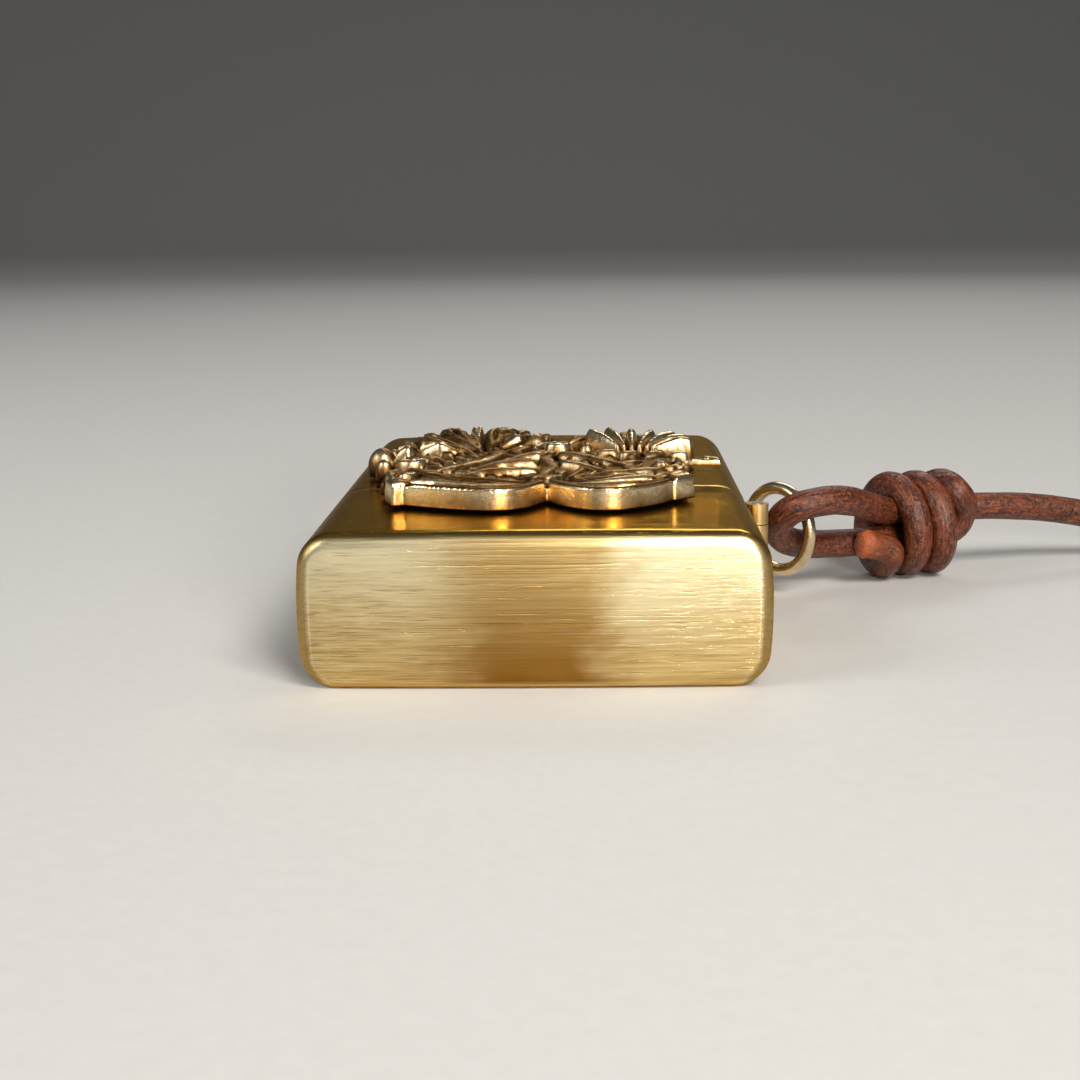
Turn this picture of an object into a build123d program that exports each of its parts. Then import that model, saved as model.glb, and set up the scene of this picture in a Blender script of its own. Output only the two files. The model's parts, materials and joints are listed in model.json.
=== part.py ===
"""Flip-top windproof petrol lighter lying on its back, with a ring and a leather thong.

+Z leaves the front face with its cast crest, the lid's domed end points along -Y and the
hinge is on the +X side.  The origin is the centre of the flat back.  All sizes are in mm.
"""

import os
from math import cos, pi, radians, sin

from build123d import *

# ---------------------------------------------------------------- driving dimensions
WIDTH = 38.1
LENGTH = 57.0
THICKNESS = 12.9
WALL = 0.6
LONG_EDGE_RADIUS = 2.4
END_EDGE_RADIUS = 1.2
LID_LENGTH = 22.0
LID_DOME = 0.5
SEAM_GAP = 0.14

BOTTOM_Y = LENGTH / 2
TOP_Y = -LENGTH / 2
SEAM_Y = TOP_Y + LID_LENGTH
MID_Z = THICKNESS / 2
INNER_HALF_WIDTH = WIDTH / 2 - WALL

# hinge
KNUCKLE_RADIUS = 1.0
HINGE_X = WIDTH / 2 + 0.55
KNUCKLE_BORE = 0.5
PIN_RADIUS = 0.45
BARREL_Z0 = 1.7
BARREL_LENGTH = 9.5
KNUCKLE_COUNT = 5
KNUCKLE_GAP = 0.08
KNUCKLE_PITCH = BARREL_LENGTH / KNUCKLE_COUNT
NOTCH_HALF = 1.15
NOTCH_MARGIN = 0.2
LEAF_THICKNESS = 0.4
LEAF_LENGTH = 7.0
LEAF_HEIGHT = 8.0
LEAF_INNER_X = INNER_HALF_WIDTH - LEAF_THICKNESS
WEB_THICKNESS = 0.45
WEB_START = KNUCKLE_RADIUS - WEB_THICKNESS
STOP_LENGTH = 2.6
STOP_THICKNESS = 0.55
STOP_WIDTH = 1.8
STOP_FOOT = 0.5
STOP_FOOT_LENGTH = 2.7
STOP_CLEARANCE = 0.6

# insert
INSERT_HALF_WIDTH = 17.75
INSERT_DEPTH = 11.2
INSERT_WALL = 0.5
INSERT_TOP_Y = SEAM_Y - 1.2
INSERT_BOTTOM_Y = BOTTOM_Y - 0.9
INSERT_CORNER = 1.6
INSERT_RIM_RADIUS = 0.45
CAM_SLOT = (15.0, MID_Z)
CAM_SLOT_LENGTH = 3.7
CAM_SLOT_WIDTH = 3.2
CHIMNEY_CENTRE_X = -0.3
CHIMNEY_WIDTH = 16.6
CHIMNEY_DEPTH = 10.2
CHIMNEY_WALL = 0.5
CHIMNEY_TOP_Y = TOP_Y + 3.5
CHIMNEY_CORNER = 2.2
AIR_HOLE_RADIUS = 1.25
AIR_HOLE_PITCH = 4.4
WICK_X = -1.0
WICK_RADIUS = 1.5
WICK_CLEARANCE = 0.1
WICK_END_Y = 20.0
WICK_DEPTH = 4.5
PRESS_CLEARANCE = 0.02
AIR_HOLE_ROWS = (3, 2, 3)
AIR_HOLE_FIRST = 4.0
AIR_HOLE_ROW_STEP = 4.2

# wadding and felt
PAD_COUNT = 4
PAD_LENGTH = 7.4
PAD_GAP = 0.2
PAD_START_Y = SEAM_Y + 1.0
PAD_X = 3.6
PAD_WIDTH = 26.6
PAD_DEPTH = 9.9
PAD_CORNER = 2.5
PAD_CLEARANCE = 0.05
FELT_THICKNESS = 2.4
FELT_INSET = 0.2

# spark wheel and flint
WHEEL_X = -12.2
WHEEL_Y = TOP_Y + 11.0
WHEEL_RADIUS = 3.4
WHEEL_WIDTH = 3.6
WHEEL_TEETH = 28
AXLE_RADIUS = 1.0
RUNNING_CLEARANCE = 0.05
EAR_THICKNESS = 0.6
EAR_RADIUS = 2.2
EAR_GAP = 0.3
EAR_X = -10.2
EAR_LENGTH = 8.4
AXLE_HEAD_RADIUS = 1.5
AXLE_HEAD = 0.5
TOOTH = 0.42
TUBE_RADIUS = 2.0
TUBE_BORE = 1.4
TUBE_TOP_Y = WHEEL_Y + WHEEL_RADIUS + 0.4
TUBE_BOTTOM_Y = INSERT_BOTTOM_Y - 1.6
FLINT_RADIUS = 1.3
FLINT_LENGTH = 5.0
FLINT_TOP_Y = WHEEL_Y + WHEEL_RADIUS + 0.05
SCREW_SHANK = 5.0
SCREW_HEAD_RADIUS = 2.5
SCREW_HEAD = 1.4
SPRING_WIRE = 0.18
SPRING_RADIUS = 1.0
SPRING_TURNS = 18
SPRING_END_GAP = 0.02
SCREW_CLEARANCE = 0.03
SCREW_SLOT_WIDTH = 0.6
SCREW_SLOT_DEPTH = 0.6

# cam
CAM_X = 10.4
CAM_Y = INSERT_TOP_Y - 1.9
CAM_THICKNESS = 1.6
CAM_HUB_RADIUS = 1.5
CAM_NOSE_X = 16.9
CAM_NOSE_TOP_Y = CAM_Y - 0.5
CAM_PIN_RADIUS = 0.6
CAM_EAR_THICKNESS = 0.5
CAM_EAR_GAP = 0.15
CAM_EAR_RADIUS = 1.4
CAM_EAR_X = 9.0
CAM_EAR_LENGTH = 5.6
CAM_EAR_HEIGHT = 1.9
CAM_PIN_HEAD_RADIUS = 1.0
CAM_PIN_HEAD = 0.3
LEAF_SPRING = 0.3
LEAF_SPRING_WIDTH = 2.4

# crest
CREST_LID_GAP = 0.2
CREST_SLAB_TOP = THICKNESS + 1.2
CREST_LOBE_TOP = THICKNESS + 2.25
CREST_HIGH_TOP = THICKNESS + 3.3
COLLARS = [(-12.3, -16.3, 25), (12.9, -14.2, -50)]
COLLAR_RISE = 0.1
STRAND_WIDTH = 1.5
STRAND_HEIGHT = 1.1
BEAD = (-14.6, 0.0)
BEAD_RADIUS = 1.35
BEAD_HEIGHT = 1.2
BAR = (13.6, -6.3)
BAR_HEIGHT = 1.0
FINGER_BEARING = 75
OVERHANG_MARGIN = 0.5

# ring and eyelet
RING_WIRE = 0.62
RING_RADIUS = 4.03
RING_BEARING = radians(50)
EYE_X = 20.36
EYE_Y = 9.3
EYE_Z = 6.35
EYE_HOLE = 0.8
EYE_RADIUS = 1.6
EYE_THICKNESS = 1.3
EYE_FOOT = 0.5
EYE_FOOT_LENGTH = 6.0
EYE_FOOT_HEIGHT = 4.4

# leather thong
THONG = 1.4
KNOT_CENTRE = (37.2, 14.0, 5.4)
KNOT_BEARING = 19.0
KNOT_RADIUS = 5.3
KNOT_LENGTH = 10.4
KNOT_WRAPS = 3
WRAP_RISE = 1.2
COIL_CENTRE = (80.0, 6.6)
COIL_INNER = 7.6
COIL_OUTER = 17.9
END_KNOT_CENTRE = (80.0, 2.2, 4.2)
END_KNOT_RADIUS = 4.2

NOOSE_ROUTE = [
    (33.8, 11.9, 4.0),
    (30.4, 10.7, 4.0),
    (26.9, 9.0, 4.2),
    (23.6, 6.3, 5.0),
    (22.1, 2.9, 7.2),
    (23.4, -0.2, 9.6),
    (26.8, 0.5, 10.2),
    (29.5, 3.8, 9.5),
    (31.5, 7.5, 8.4),
    (33.8, 11.0, 7.2),
]
TAIL_ROUTE = [(34.7, 9.6, 3.9), (32.8, 9.0, 4.1), (31.1, 8.1, 4.4)]
RUN_ROUTE = [
    (41.2, 15.3, 6.7),
    (46.2, 17.0, 6.6),
    (52.6, 19.4, 5.9),
    (60.0, 21.5, 4.2),
    (68.0, 22.8, 2.2),
    (75.9, 23.1, THONG + 0.001),
]


def section(y):
    """Cross-section plane of the lighter at y; its normal points to the lid end."""
    return Plane.XZ.offset(-y)


def layer(z):
    """Horizontal plane at height z."""
    return Plane.XY.offset(z)


def cord_path(points):
    """Straight runs joined by arcs as large as the runs allow; also their radii."""
    corners = [Vector(*p) for p in points]
    radii = []
    for before, corner, after in zip(corners, corners[1:], corners[2:]):
        turn = radians((corner - before).get_angle(after - corner))
        shorter = min((corner - before).length, (after - corner).length)
        radii.append(0.45 * shorter / (sin(turn / 2) / cos(turn / 2)))
    return corners, radii


def cord_tube(points, label):
    """Round tube of the thong's diameter along a route."""
    corners, radii = cord_path(points)
    with BuildPart() as tube:
        with BuildLine() as line:
            FilletPolyline(*corners, radius=radii)
        route = line.wires()[0]
        with BuildSketch(Plane(route @ 0, z_dir=route % 0)):
            Circle(THONG)
        sweep(path=route)
    tube.part.label = label
    ratio = tube.part.volume / (pi * THONG**2 * route.length)
    print(f"{label}: length {route.length:.1f}, volume ratio {ratio:.4f}, radii {[round(r, 1) for r in radii]}")
    return tube


# ---------------------------------------------------------------- outer shells
def cut_hinge_notch():
    """Open the side wall beside the hinge barrel."""
    with Locations((WIDTH / 2 - WALL / 2, SEAM_Y, BARREL_Z0 + BARREL_LENGTH / 2)):
        Box(2 * WALL, 2 * NOTCH_HALF, BARREL_LENGTH + 2 * NOTCH_MARGIN, mode=Mode.SUBTRACT)


with BuildPart() as case_shell:
    with BuildSketch(section(BOTTOM_Y)):
        with Locations((0, MID_Z)):
            RectangleRounded(WIDTH, THICKNESS, LONG_EDGE_RADIUS)
    extrude(amount=BOTTOM_Y - SEAM_Y)
    fillet(case_shell.faces().sort_by(Axis.Y)[-1].edges(), radius=END_EDGE_RADIUS)
    with BuildSketch(section(BOTTOM_Y - WALL)):
        with Locations((0, MID_Z)):
            RectangleRounded(WIDTH - 2 * WALL, THICKNESS - 2 * WALL, LONG_EDGE_RADIUS - WALL)
    extrude(amount=LENGTH, mode=Mode.SUBTRACT)
    cut_hinge_notch()
case_shell.part.label = "case_shell"

with BuildPart() as lid_shell:
    with BuildSketch(section(SEAM_Y - SEAM_GAP)):
        with Locations((0, MID_Z)):
            RectangleRounded(WIDTH, THICKNESS, LONG_EDGE_RADIUS)
    extrude(amount=LID_LENGTH)
    with BuildSketch(layer(0)):
        with BuildLine():
            Polyline((-WIDTH / 2, TOP_Y + LID_DOME), (-WIDTH / 2, 0), (WIDTH / 2, 0),
                     (WIDTH / 2, TOP_Y + LID_DOME))
            ThreePointArc((WIDTH / 2, TOP_Y + LID_DOME), (0, TOP_Y), (-WIDTH / 2, TOP_Y + LID_DOME))
        make_face()
    extrude(amount=THICKNESS, mode=Mode.INTERSECT)
    fillet(lid_shell.faces().sort_by(Axis.Y)[0].edges(), radius=END_EDGE_RADIUS)
    with BuildSketch(section(0)):
        with Locations((0, MID_Z)):
            RectangleRounded(WIDTH - 2 * WALL, THICKNESS - 2 * WALL, LONG_EDGE_RADIUS - WALL)
    extrude(amount=-TOP_Y - WALL - LID_DOME, mode=Mode.SUBTRACT)
    cut_hinge_notch()
lid_shell.part.label = "lid_shell"


# ---------------------------------------------------------------- hinge
def hinge_leaf(side, knuckles):
    """One leaf: a plate inside the shell and knuckles outside; side is +1 for the case."""
    plate_x = LEAF_INNER_X + LEAF_THICKNESS / 2
    plate_y = SEAM_Y + side * (WEB_START + LEAF_LENGTH / 2)
    web_x = (LEAF_INNER_X + HINGE_X) / 2
    web_y = SEAM_Y + side * (WEB_START + WEB_THICKNESS / 2)
    with BuildPart() as leaf:
        with Locations((plate_x, plate_y, BARREL_Z0 + BARREL_LENGTH / 2)):
            Box(LEAF_THICKNESS, LEAF_LENGTH, LEAF_HEIGHT)
        for knuckle in knuckles:
            with BuildSketch(layer(BARREL_Z0 + knuckle * KNUCKLE_PITCH + KNUCKLE_GAP / 2)):
                with Locations((HINGE_X, SEAM_Y)):
                    Circle(KNUCKLE_RADIUS)
                with Locations((web_x, web_y)):
                    Rectangle(HINGE_X - LEAF_INNER_X, WEB_THICKNESS)
                with Locations((HINGE_X, SEAM_Y)):
                    Circle(KNUCKLE_BORE, mode=Mode.SUBTRACT)
            extrude(amount=KNUCKLE_PITCH - KNUCKLE_GAP)
    return leaf


case_hinge_leaf = hinge_leaf(1, range(0, KNUCKLE_COUNT, 2))
case_hinge_leaf.part.label = "case_hinge_leaf"
lid_hinge_leaf = hinge_leaf(-1, range(1, KNUCKLE_COUNT, 2))
lid_hinge_leaf.part.label = "lid_hinge_leaf"

with BuildPart() as hinge_pin:
    with BuildSketch(layer(BARREL_Z0)):
        with Locations((HINGE_X, SEAM_Y)):
            Circle(PIN_RADIUS)
    extrude(amount=BARREL_LENGTH)
hinge_pin.part.label = "hinge_pin"

# finger on the lid's leaf that bears on the cam's nose
with BuildPart() as lid_stop:
    stop_y = CAM_NOSE_TOP_Y - STOP_CLEARANCE
    with BuildSketch(layer(MID_Z - STOP_WIDTH / 2)):
        with Locations((LEAF_INNER_X - STOP_LENGTH / 2, stop_y + STOP_THICKNESS / 2)):
            Rectangle(STOP_LENGTH, STOP_THICKNESS)
        with Locations((LEAF_INNER_X - STOP_FOOT / 2, stop_y + STOP_THICKNESS - STOP_FOOT_LENGTH / 2)):
            Rectangle(STOP_FOOT, STOP_FOOT_LENGTH)
    extrude(amount=STOP_WIDTH)
lid_stop.part.label = "lid_stop"

# ---------------------------------------------------------------- insert
with BuildPart() as insert_can:
    with BuildSketch(section(INSERT_BOTTOM_Y)):
        with Locations((0, MID_Z)):
            RectangleRounded(2 * INSERT_HALF_WIDTH, INSERT_DEPTH, INSERT_CORNER)
    extrude(amount=INSERT_BOTTOM_Y - INSERT_TOP_Y)
    fillet(insert_can.faces().sort_by(Axis.Y)[0].edges(), radius=INSERT_RIM_RADIUS)
    with BuildSketch(section(INSERT_BOTTOM_Y)):
        with Locations((0, MID_Z)):
            RectangleRounded(2 * (INSERT_HALF_WIDTH - INSERT_WALL), INSERT_DEPTH - 2 * INSERT_WALL,
                             INSERT_CORNER - INSERT_WALL)
    extrude(amount=INSERT_BOTTOM_Y - INSERT_TOP_Y - INSERT_WALL, mode=Mode.SUBTRACT)
    with BuildSketch(section(INSERT_TOP_Y + 1)):
        with Locations((WICK_X, MID_Z)):
            Circle(WICK_RADIUS + WICK_CLEARANCE)
        with Locations((WHEEL_X, MID_Z)):
            Circle(TUBE_RADIUS + PRESS_CLEARANCE)
        with Locations(CAM_SLOT):
            Rectangle(CAM_SLOT_LENGTH, CAM_SLOT_WIDTH)
    extrude(amount=4 * INSERT_WALL, mode=Mode.SUBTRACT)
insert_can.part.label = "insert_can"

with BuildPart() as chimney:
    with BuildSketch(section(INSERT_TOP_Y)):
        with Locations((CHIMNEY_CENTRE_X, MID_Z)):
            RectangleRounded(CHIMNEY_WIDTH, CHIMNEY_DEPTH, CHIMNEY_CORNER)
    extrude(amount=INSERT_TOP_Y - CHIMNEY_TOP_Y)
    # plates that carry the spark wheel
    for ear_z in (MID_Z - WHEEL_WIDTH / 2 - EAR_GAP - EAR_THICKNESS, MID_Z + WHEEL_WIDTH / 2 + EAR_GAP):
        with BuildSketch(layer(ear_z)):
            with Locations((WHEEL_X, WHEEL_Y)):
                Circle(EAR_RADIUS)
            with Locations((EAR_X, (WHEEL_Y + INSERT_TOP_Y) / 2)):
                Rectangle(EAR_LENGTH, INSERT_TOP_Y - WHEEL_Y)
            with Locations((WHEEL_X, WHEEL_Y)):
                Circle(AXLE_RADIUS + PRESS_CLEARANCE, mode=Mode.SUBTRACT)
        extrude(amount=EAR_THICKNESS)
    # plates that carry the cam
    cam_ear_z = CAM_THICKNESS / 2 + CAM_EAR_GAP
    for ear_z in (MID_Z - cam_ear_z - CAM_EAR_THICKNESS, MID_Z + cam_ear_z):
        with BuildSketch(layer(ear_z)):
            with Locations((CAM_X, CAM_Y)):
                Circle(CAM_EAR_RADIUS)
            with Locations((CAM_EAR_X, INSERT_TOP_Y - CAM_EAR_HEIGHT / 2)):
                Rectangle(CAM_EAR_LENGTH, CAM_EAR_HEIGHT)
            with Locations((CAM_X, CAM_Y)):
                Circle(CAM_PIN_RADIUS + PRESS_CLEARANCE, mode=Mode.SUBTRACT)
        extrude(amount=CAM_EAR_THICKNESS)
    with BuildSketch(section(INSERT_TOP_Y)):
        with Locations((CHIMNEY_CENTRE_X, MID_Z)):
            RectangleRounded(CHIMNEY_WIDTH - 2 * CHIMNEY_WALL, CHIMNEY_DEPTH - 2 * CHIMNEY_WALL,
                             CHIMNEY_CORNER - CHIMNEY_WALL)
    extrude(amount=LENGTH, mode=Mode.SUBTRACT)
    # air holes through both broad walls, in rows of three, two and three
    for row, count in enumerate(AIR_HOLE_ROWS):
        row_y = CHIMNEY_TOP_Y + AIR_HOLE_FIRST + AIR_HOLE_ROW_STEP * row
        with Locations((CHIMNEY_CENTRE_X, row_y, MID_Z)):
            with GridLocations(AIR_HOLE_PITCH, 1, count, 1):
                Cylinder(AIR_HOLE_RADIUS, THICKNESS, mode=Mode.SUBTRACT)
chimney.part.label = "chimney"

with BuildPart() as wick:
    with BuildSketch(section(WICK_END_Y)):
        with Locations((WICK_X, MID_Z)):
            Circle(WICK_RADIUS)
    extrude(amount=WICK_END_Y - CHIMNEY_TOP_Y - WICK_DEPTH)
wick.part.label = "wick"

with BuildPart() as wadding:
    for pad in range(PAD_COUNT):
        with BuildSketch(section(PAD_START_Y + (pad + 1) * (PAD_LENGTH + PAD_GAP))):
            with Locations((PAD_X, MID_Z)):
                RectangleRounded(PAD_WIDTH, PAD_DEPTH, PAD_CORNER)
            with Locations((WICK_X, MID_Z)):
                Circle(WICK_RADIUS + PAD_CLEARANCE, mode=Mode.SUBTRACT)
        extrude(amount=PAD_LENGTH)
wadding.part.label = "wadding"

with BuildPart() as felt_pad:
    with BuildSketch(section(INSERT_BOTTOM_Y - FELT_INSET)):
        with Locations((0, MID_Z)):
            RectangleRounded(2 * (INSERT_HALF_WIDTH - INSERT_WALL - PAD_CLEARANCE),
                             INSERT_DEPTH - 2 * (INSERT_WALL + PAD_CLEARANCE), INSERT_CORNER - INSERT_WALL)
        with Locations((WHEEL_X, MID_Z)):
            Circle(SCREW_HEAD_RADIUS + FELT_INSET, mode=Mode.SUBTRACT)
    extrude(amount=FELT_THICKNESS)
felt_pad.part.label = "felt_pad"

# ---------------------------------------------------------------- spark wheel and flint
with BuildPart() as flint_wheel:
    with BuildSketch(layer(MID_Z - WHEEL_WIDTH / 2)):
        with Locations((WHEEL_X, WHEEL_Y)):
            Circle(WHEEL_RADIUS)
            with PolarLocations(WHEEL_RADIUS, WHEEL_TEETH):
                Rectangle(TOOTH, TOOTH, rotation=45, mode=Mode.SUBTRACT)
            Circle(AXLE_RADIUS + RUNNING_CLEARANCE, mode=Mode.SUBTRACT)
    extrude(amount=WHEEL_WIDTH)
flint_wheel.part.label = "flint_wheel"

with BuildPart() as wheel_axle:
    axle_half = WHEEL_WIDTH / 2 + EAR_GAP + EAR_THICKNESS
    with Locations((WHEEL_X, WHEEL_Y, MID_Z)):
        Cylinder(AXLE_RADIUS, 2 * axle_half)
    head_z = axle_half + AXLE_HEAD / 2
    with Locations((WHEEL_X, WHEEL_Y, MID_Z - head_z), (WHEEL_X, WHEEL_Y, MID_Z + head_z)):
        Cylinder(AXLE_HEAD_RADIUS, AXLE_HEAD)
wheel_axle.part.label = "wheel_axle"

with BuildPart() as flint_tube:
    with BuildSketch(section(TUBE_BOTTOM_Y)):
        with Locations((WHEEL_X, MID_Z)):
            Circle(TUBE_RADIUS)
            Circle(TUBE_BORE, mode=Mode.SUBTRACT)
    extrude(amount=TUBE_BOTTOM_Y - TUBE_TOP_Y)
flint_tube.part.label = "flint_tube"

with BuildPart() as flint:
    with BuildSketch(section(FLINT_TOP_Y + FLINT_LENGTH)):
        with Locations((WHEEL_X, MID_Z)):
            Circle(FLINT_RADIUS)
    extrude(amount=FLINT_LENGTH)
flint.part.label = "flint"

with BuildPart() as flint_spring:
    spring_y0 = FLINT_TOP_Y + FLINT_LENGTH + SPRING_WIRE + SPRING_END_GAP
    spring_y1 = TUBE_BOTTOM_Y - SCREW_SHANK - SPRING_WIRE - SPRING_END_GAP
    with BuildLine() as spring_line:
        Helix(pitch=(spring_y1 - spring_y0) / SPRING_TURNS, height=spring_y1 - spring_y0,
              radius=SPRING_RADIUS, center=(WHEEL_X, spring_y0, MID_Z), direction=(0, 1, 0))
    with BuildSketch(Plane(spring_line.line @ 0, z_dir=spring_line.line % 0)):
        Circle(SPRING_WIRE)
    sweep(path=spring_line.line)
flint_spring.part.label = "flint_spring"

with BuildPart() as flint_screw:
    with BuildSketch(section(TUBE_BOTTOM_Y)):
        with Locations((WHEEL_X, MID_Z)):
            Circle(TUBE_BORE - SCREW_CLEARANCE)
    extrude(amount=SCREW_SHANK)
    with BuildSketch(section(TUBE_BOTTOM_Y + SCREW_HEAD)):
        with Locations((WHEEL_X, MID_Z)):
            Circle(SCREW_HEAD_RADIUS)
    extrude(amount=SCREW_HEAD)
    with Locations((WHEEL_X, TUBE_BOTTOM_Y + SCREW_HEAD, MID_Z)):
        Box(2 * SCREW_HEAD_RADIUS, 2 * SCREW_SLOT_DEPTH, SCREW_SLOT_WIDTH, mode=Mode.SUBTRACT)
flint_screw.part.label = "flint_screw"

# ---------------------------------------------------------------- cam
with BuildPart() as cam_lever:
    with BuildSketch(layer(MID_Z - CAM_THICKNESS / 2)):
        with BuildLine():
            Polyline((CAM_X, CAM_Y - 1.45), (CAM_NOSE_X - 1.5, CAM_NOSE_TOP_Y), (CAM_NOSE_X, CAM_NOSE_TOP_Y),
                     (CAM_NOSE_X + 0.1, CAM_NOSE_TOP_Y + 1.0), (CAM_X + 2.6, CAM_Y + 0.7),
                     (CAM_X, CAM_Y + 1.45), close=True)
        make_face()
        with Locations((CAM_X, CAM_Y)):
            Circle(CAM_HUB_RADIUS)
            Circle(CAM_PIN_RADIUS + RUNNING_CLEARANCE, mode=Mode.SUBTRACT)
    extrude(amount=CAM_THICKNESS)
cam_lever.part.label = "cam_lever"

with BuildPart() as cam_pin:
    pin_half = CAM_THICKNESS / 2 + CAM_EAR_GAP + CAM_EAR_THICKNESS
    pin_head_z = pin_half + CAM_PIN_HEAD / 2
    with Locations((CAM_X, CAM_Y, MID_Z)):
        Cylinder(CAM_PIN_RADIUS, 2 * pin_half)
    with Locations((CAM_X, CAM_Y, MID_Z - pin_head_z), (CAM_X, CAM_Y, MID_Z + pin_head_z)):
        Cylinder(CAM_PIN_HEAD_RADIUS, CAM_PIN_HEAD)
cam_pin.part.label = "cam_pin"

with BuildPart() as cam_spring:
    plate_under_y = INSERT_TOP_Y + INSERT_WALL + LEAF_SPRING / 2
    with BuildSketch(layer(MID_Z - LEAF_SPRING_WIDTH / 2)):
        with BuildLine():
            FilletPolyline((8.6, plate_under_y), (13.4, plate_under_y), (16.3, plate_under_y + 0.55),
                           (16.1, INSERT_TOP_Y - 0.3), (14.6, CAM_NOSE_TOP_Y + 1.36), radius=0.25)
        trace(line_width=LEAF_SPRING)
    extrude(amount=LEAF_SPRING_WIDTH)
cam_spring.part.label = "cam_spring"

# ---------------------------------------------------------------- cast crest on the front
LEFT_LOBE = [(-12.0, -17.3), (-8.0, -19.2), (-3.4, -20.9), (-0.6, -19.4), (0.9, -16.3)]
RIGHT_LOBE = [(0.9, -16.3), (3.1, -19.2), (6.0, -21.1), (8.8, -19.3), (12.4, -15.0)]
CREST_SIDES = [
    (12.4, -15.0), (13.9, -13.2), (14.2, -8.2), (16.5, -7.3), (16.5, -5.3), (14.7, -4.4),
    (14.8, 2.0), (14.3, 7.7), (11.8, 14.0), (8.2, 17.2), (4.6, 14.6), (3.0, 11.8),
    (1.0, 13.4), (-4.8, 18.2), (-11.0, 17.8), (-13.4, 14.0), (-15.0, 4.0), (-16.0, 0.6),
    (-15.6, -1.6), (-14.4, -3.6), (-13.7, -11.0), (-13.4, -15.8), (-12.0, -17.3),
]
STRANDS = [
    [(0.9, -15.4), (-4.0, -13.0), (-10.5, -12.4)],
    [(0.5, -13.4), (-4.5, -9.6), (-12.0, -8.4)],
    [(0.3, -11.0), (-3.5, -5.6), (-11.0, -3.0)],
    [(1.1, -15.0), (6.0, -12.6), (12.0, -12.2)],
    [(1.3, -13.0), (6.0, -9.4), (12.6, -9.4)],
    [(1.4, -10.6), (4.8, -5.2), (11.0, -3.4)],
    [(0.9, -9.0), (1.6, -2.0), (-1.0, 5.0)],
]
FINGERS = [(5.6, 8.0), (8.0, 9.0), (10.4, 8.6), (12.4, 6.6)]
LEAVES = [(-11.0, 8.0, 35), (-7.2, 10.6, 10), (-3.2, 9.4, -20), (-9.4, 3.2, 60), (-4.6, 3.8, 20)]

with BuildPart() as emblem:
    with BuildSketch(layer(THICKNESS)):
        with BuildLine():
            Spline(*LEFT_LOBE)
            Spline(*RIGHT_LOBE)
            Polyline(*CREST_SIDES)
        make_face()
    extrude(amount=CREST_SLAB_TOP - THICKNESS)
    # the two plain lobes, thicker than the rest of the slab
    with BuildSketch(layer(THICKNESS)):
        with BuildLine():
            Spline(*LEFT_LOBE)
            Spline(*RIGHT_LOBE)
            Polyline(RIGHT_LOBE[-1], (12.2, -13.0), (0.9, -13.6), (-12.4, -14.4), LEFT_LOBE[0])
        make_face()
    extrude(amount=CREST_LOBE_TOP - THICKNESS)
    # collars at the outer ends of the lobes
    for collar_x, collar_y, turn in COLLARS:
        with BuildSketch(layer(THICKNESS)):
            with Locations(Location((collar_x, collar_y, 0), turn)):
                Rectangle(2.2, 2.4)
        extrude(amount=CREST_LOBE_TOP - THICKNESS + COLLAR_RISE)
    # flowing strands
    with BuildSketch(layer(CREST_SLAB_TOP)):
        for strand in STRANDS:
            with BuildLine():
                Spline(*strand)
            trace(line_width=STRAND_WIDTH)
    extrude(amount=STRAND_HEIGHT)
    # cross bar on the hinge side
    with BuildSketch(layer(CREST_SLAB_TOP)):
        with Locations(BAR):
            Rectangle(5.6, 1.6)
    extrude(amount=BAR_HEIGHT)
    # bead on the far side
    with Locations((*BEAD, CREST_SLAB_TOP)):
        Cylinder(BEAD_RADIUS, 2 * BEAD_HEIGHT)
    # rounded bars and leaves at the far end
    with BuildSketch(layer(CREST_SLAB_TOP)):
        for finger_x, finger_y in FINGERS:
            with Locations(Location((finger_x, finger_y, 0), FINGER_BEARING)):
                SlotOverall(8.0, 1.7)
        for leaf_x, leaf_y, leaf_turn in LEAVES:
            with Locations(Location((leaf_x, leaf_y, 0), leaf_turn)):
                Ellipse(3.4, 1.9)
    extrude(amount=CREST_HIGH_TOP - CREST_SLAB_TOP)
    # relief under the overhang, so that the lid passes beneath
    with Locations((0, SEAM_Y - LID_LENGTH / 2 + OVERHANG_MARGIN, THICKNESS + CREST_LID_GAP / 2)):
        Box(WIDTH, LID_LENGTH, CREST_LID_GAP, mode=Mode.SUBTRACT)
emblem.part.label = "emblem"

# ---------------------------------------------------------------- ring and eyelet
with BuildPart() as ring_eyelet:
    with Locations((WIDTH / 2 + EYE_FOOT / 2, EYE_Y, EYE_Z)):
        Box(EYE_FOOT, EYE_FOOT_LENGTH, EYE_FOOT_HEIGHT)
    with BuildSketch(layer(EYE_Z - EYE_THICKNESS / 2)):
        with Locations((EYE_X, EYE_Y)):
            Circle(EYE_RADIUS)
        with Locations(((WIDTH / 2 + EYE_X) / 2, EYE_Y)):
            Rectangle(EYE_X - WIDTH / 2, 2 * EYE_RADIUS)
    extrude(amount=EYE_THICKNESS)
    with Locations((EYE_X, EYE_Y, EYE_Z)):
        Cylinder(EYE_HOLE, 4 * EYE_THICKNESS, mode=Mode.SUBTRACT)
    split(bisect_by=Plane.YZ.offset(WIDTH / 2))
ring_eyelet.part.label = "ring_eyelet"

with BuildPart() as ring:
    ring_centre = (EYE_X + RING_RADIUS * cos(RING_BEARING), EYE_Y - RING_RADIUS * sin(RING_BEARING), EYE_Z)
    ring_plane = Plane(origin=ring_centre, x_dir=(cos(RING_BEARING), -sin(RING_BEARING), 0),
                       z_dir=(sin(RING_BEARING), cos(RING_BEARING), 0))
    with Locations(ring_plane.location):
        Torus(RING_RADIUS, RING_WIRE)
ring.part.label = "ring"

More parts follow.
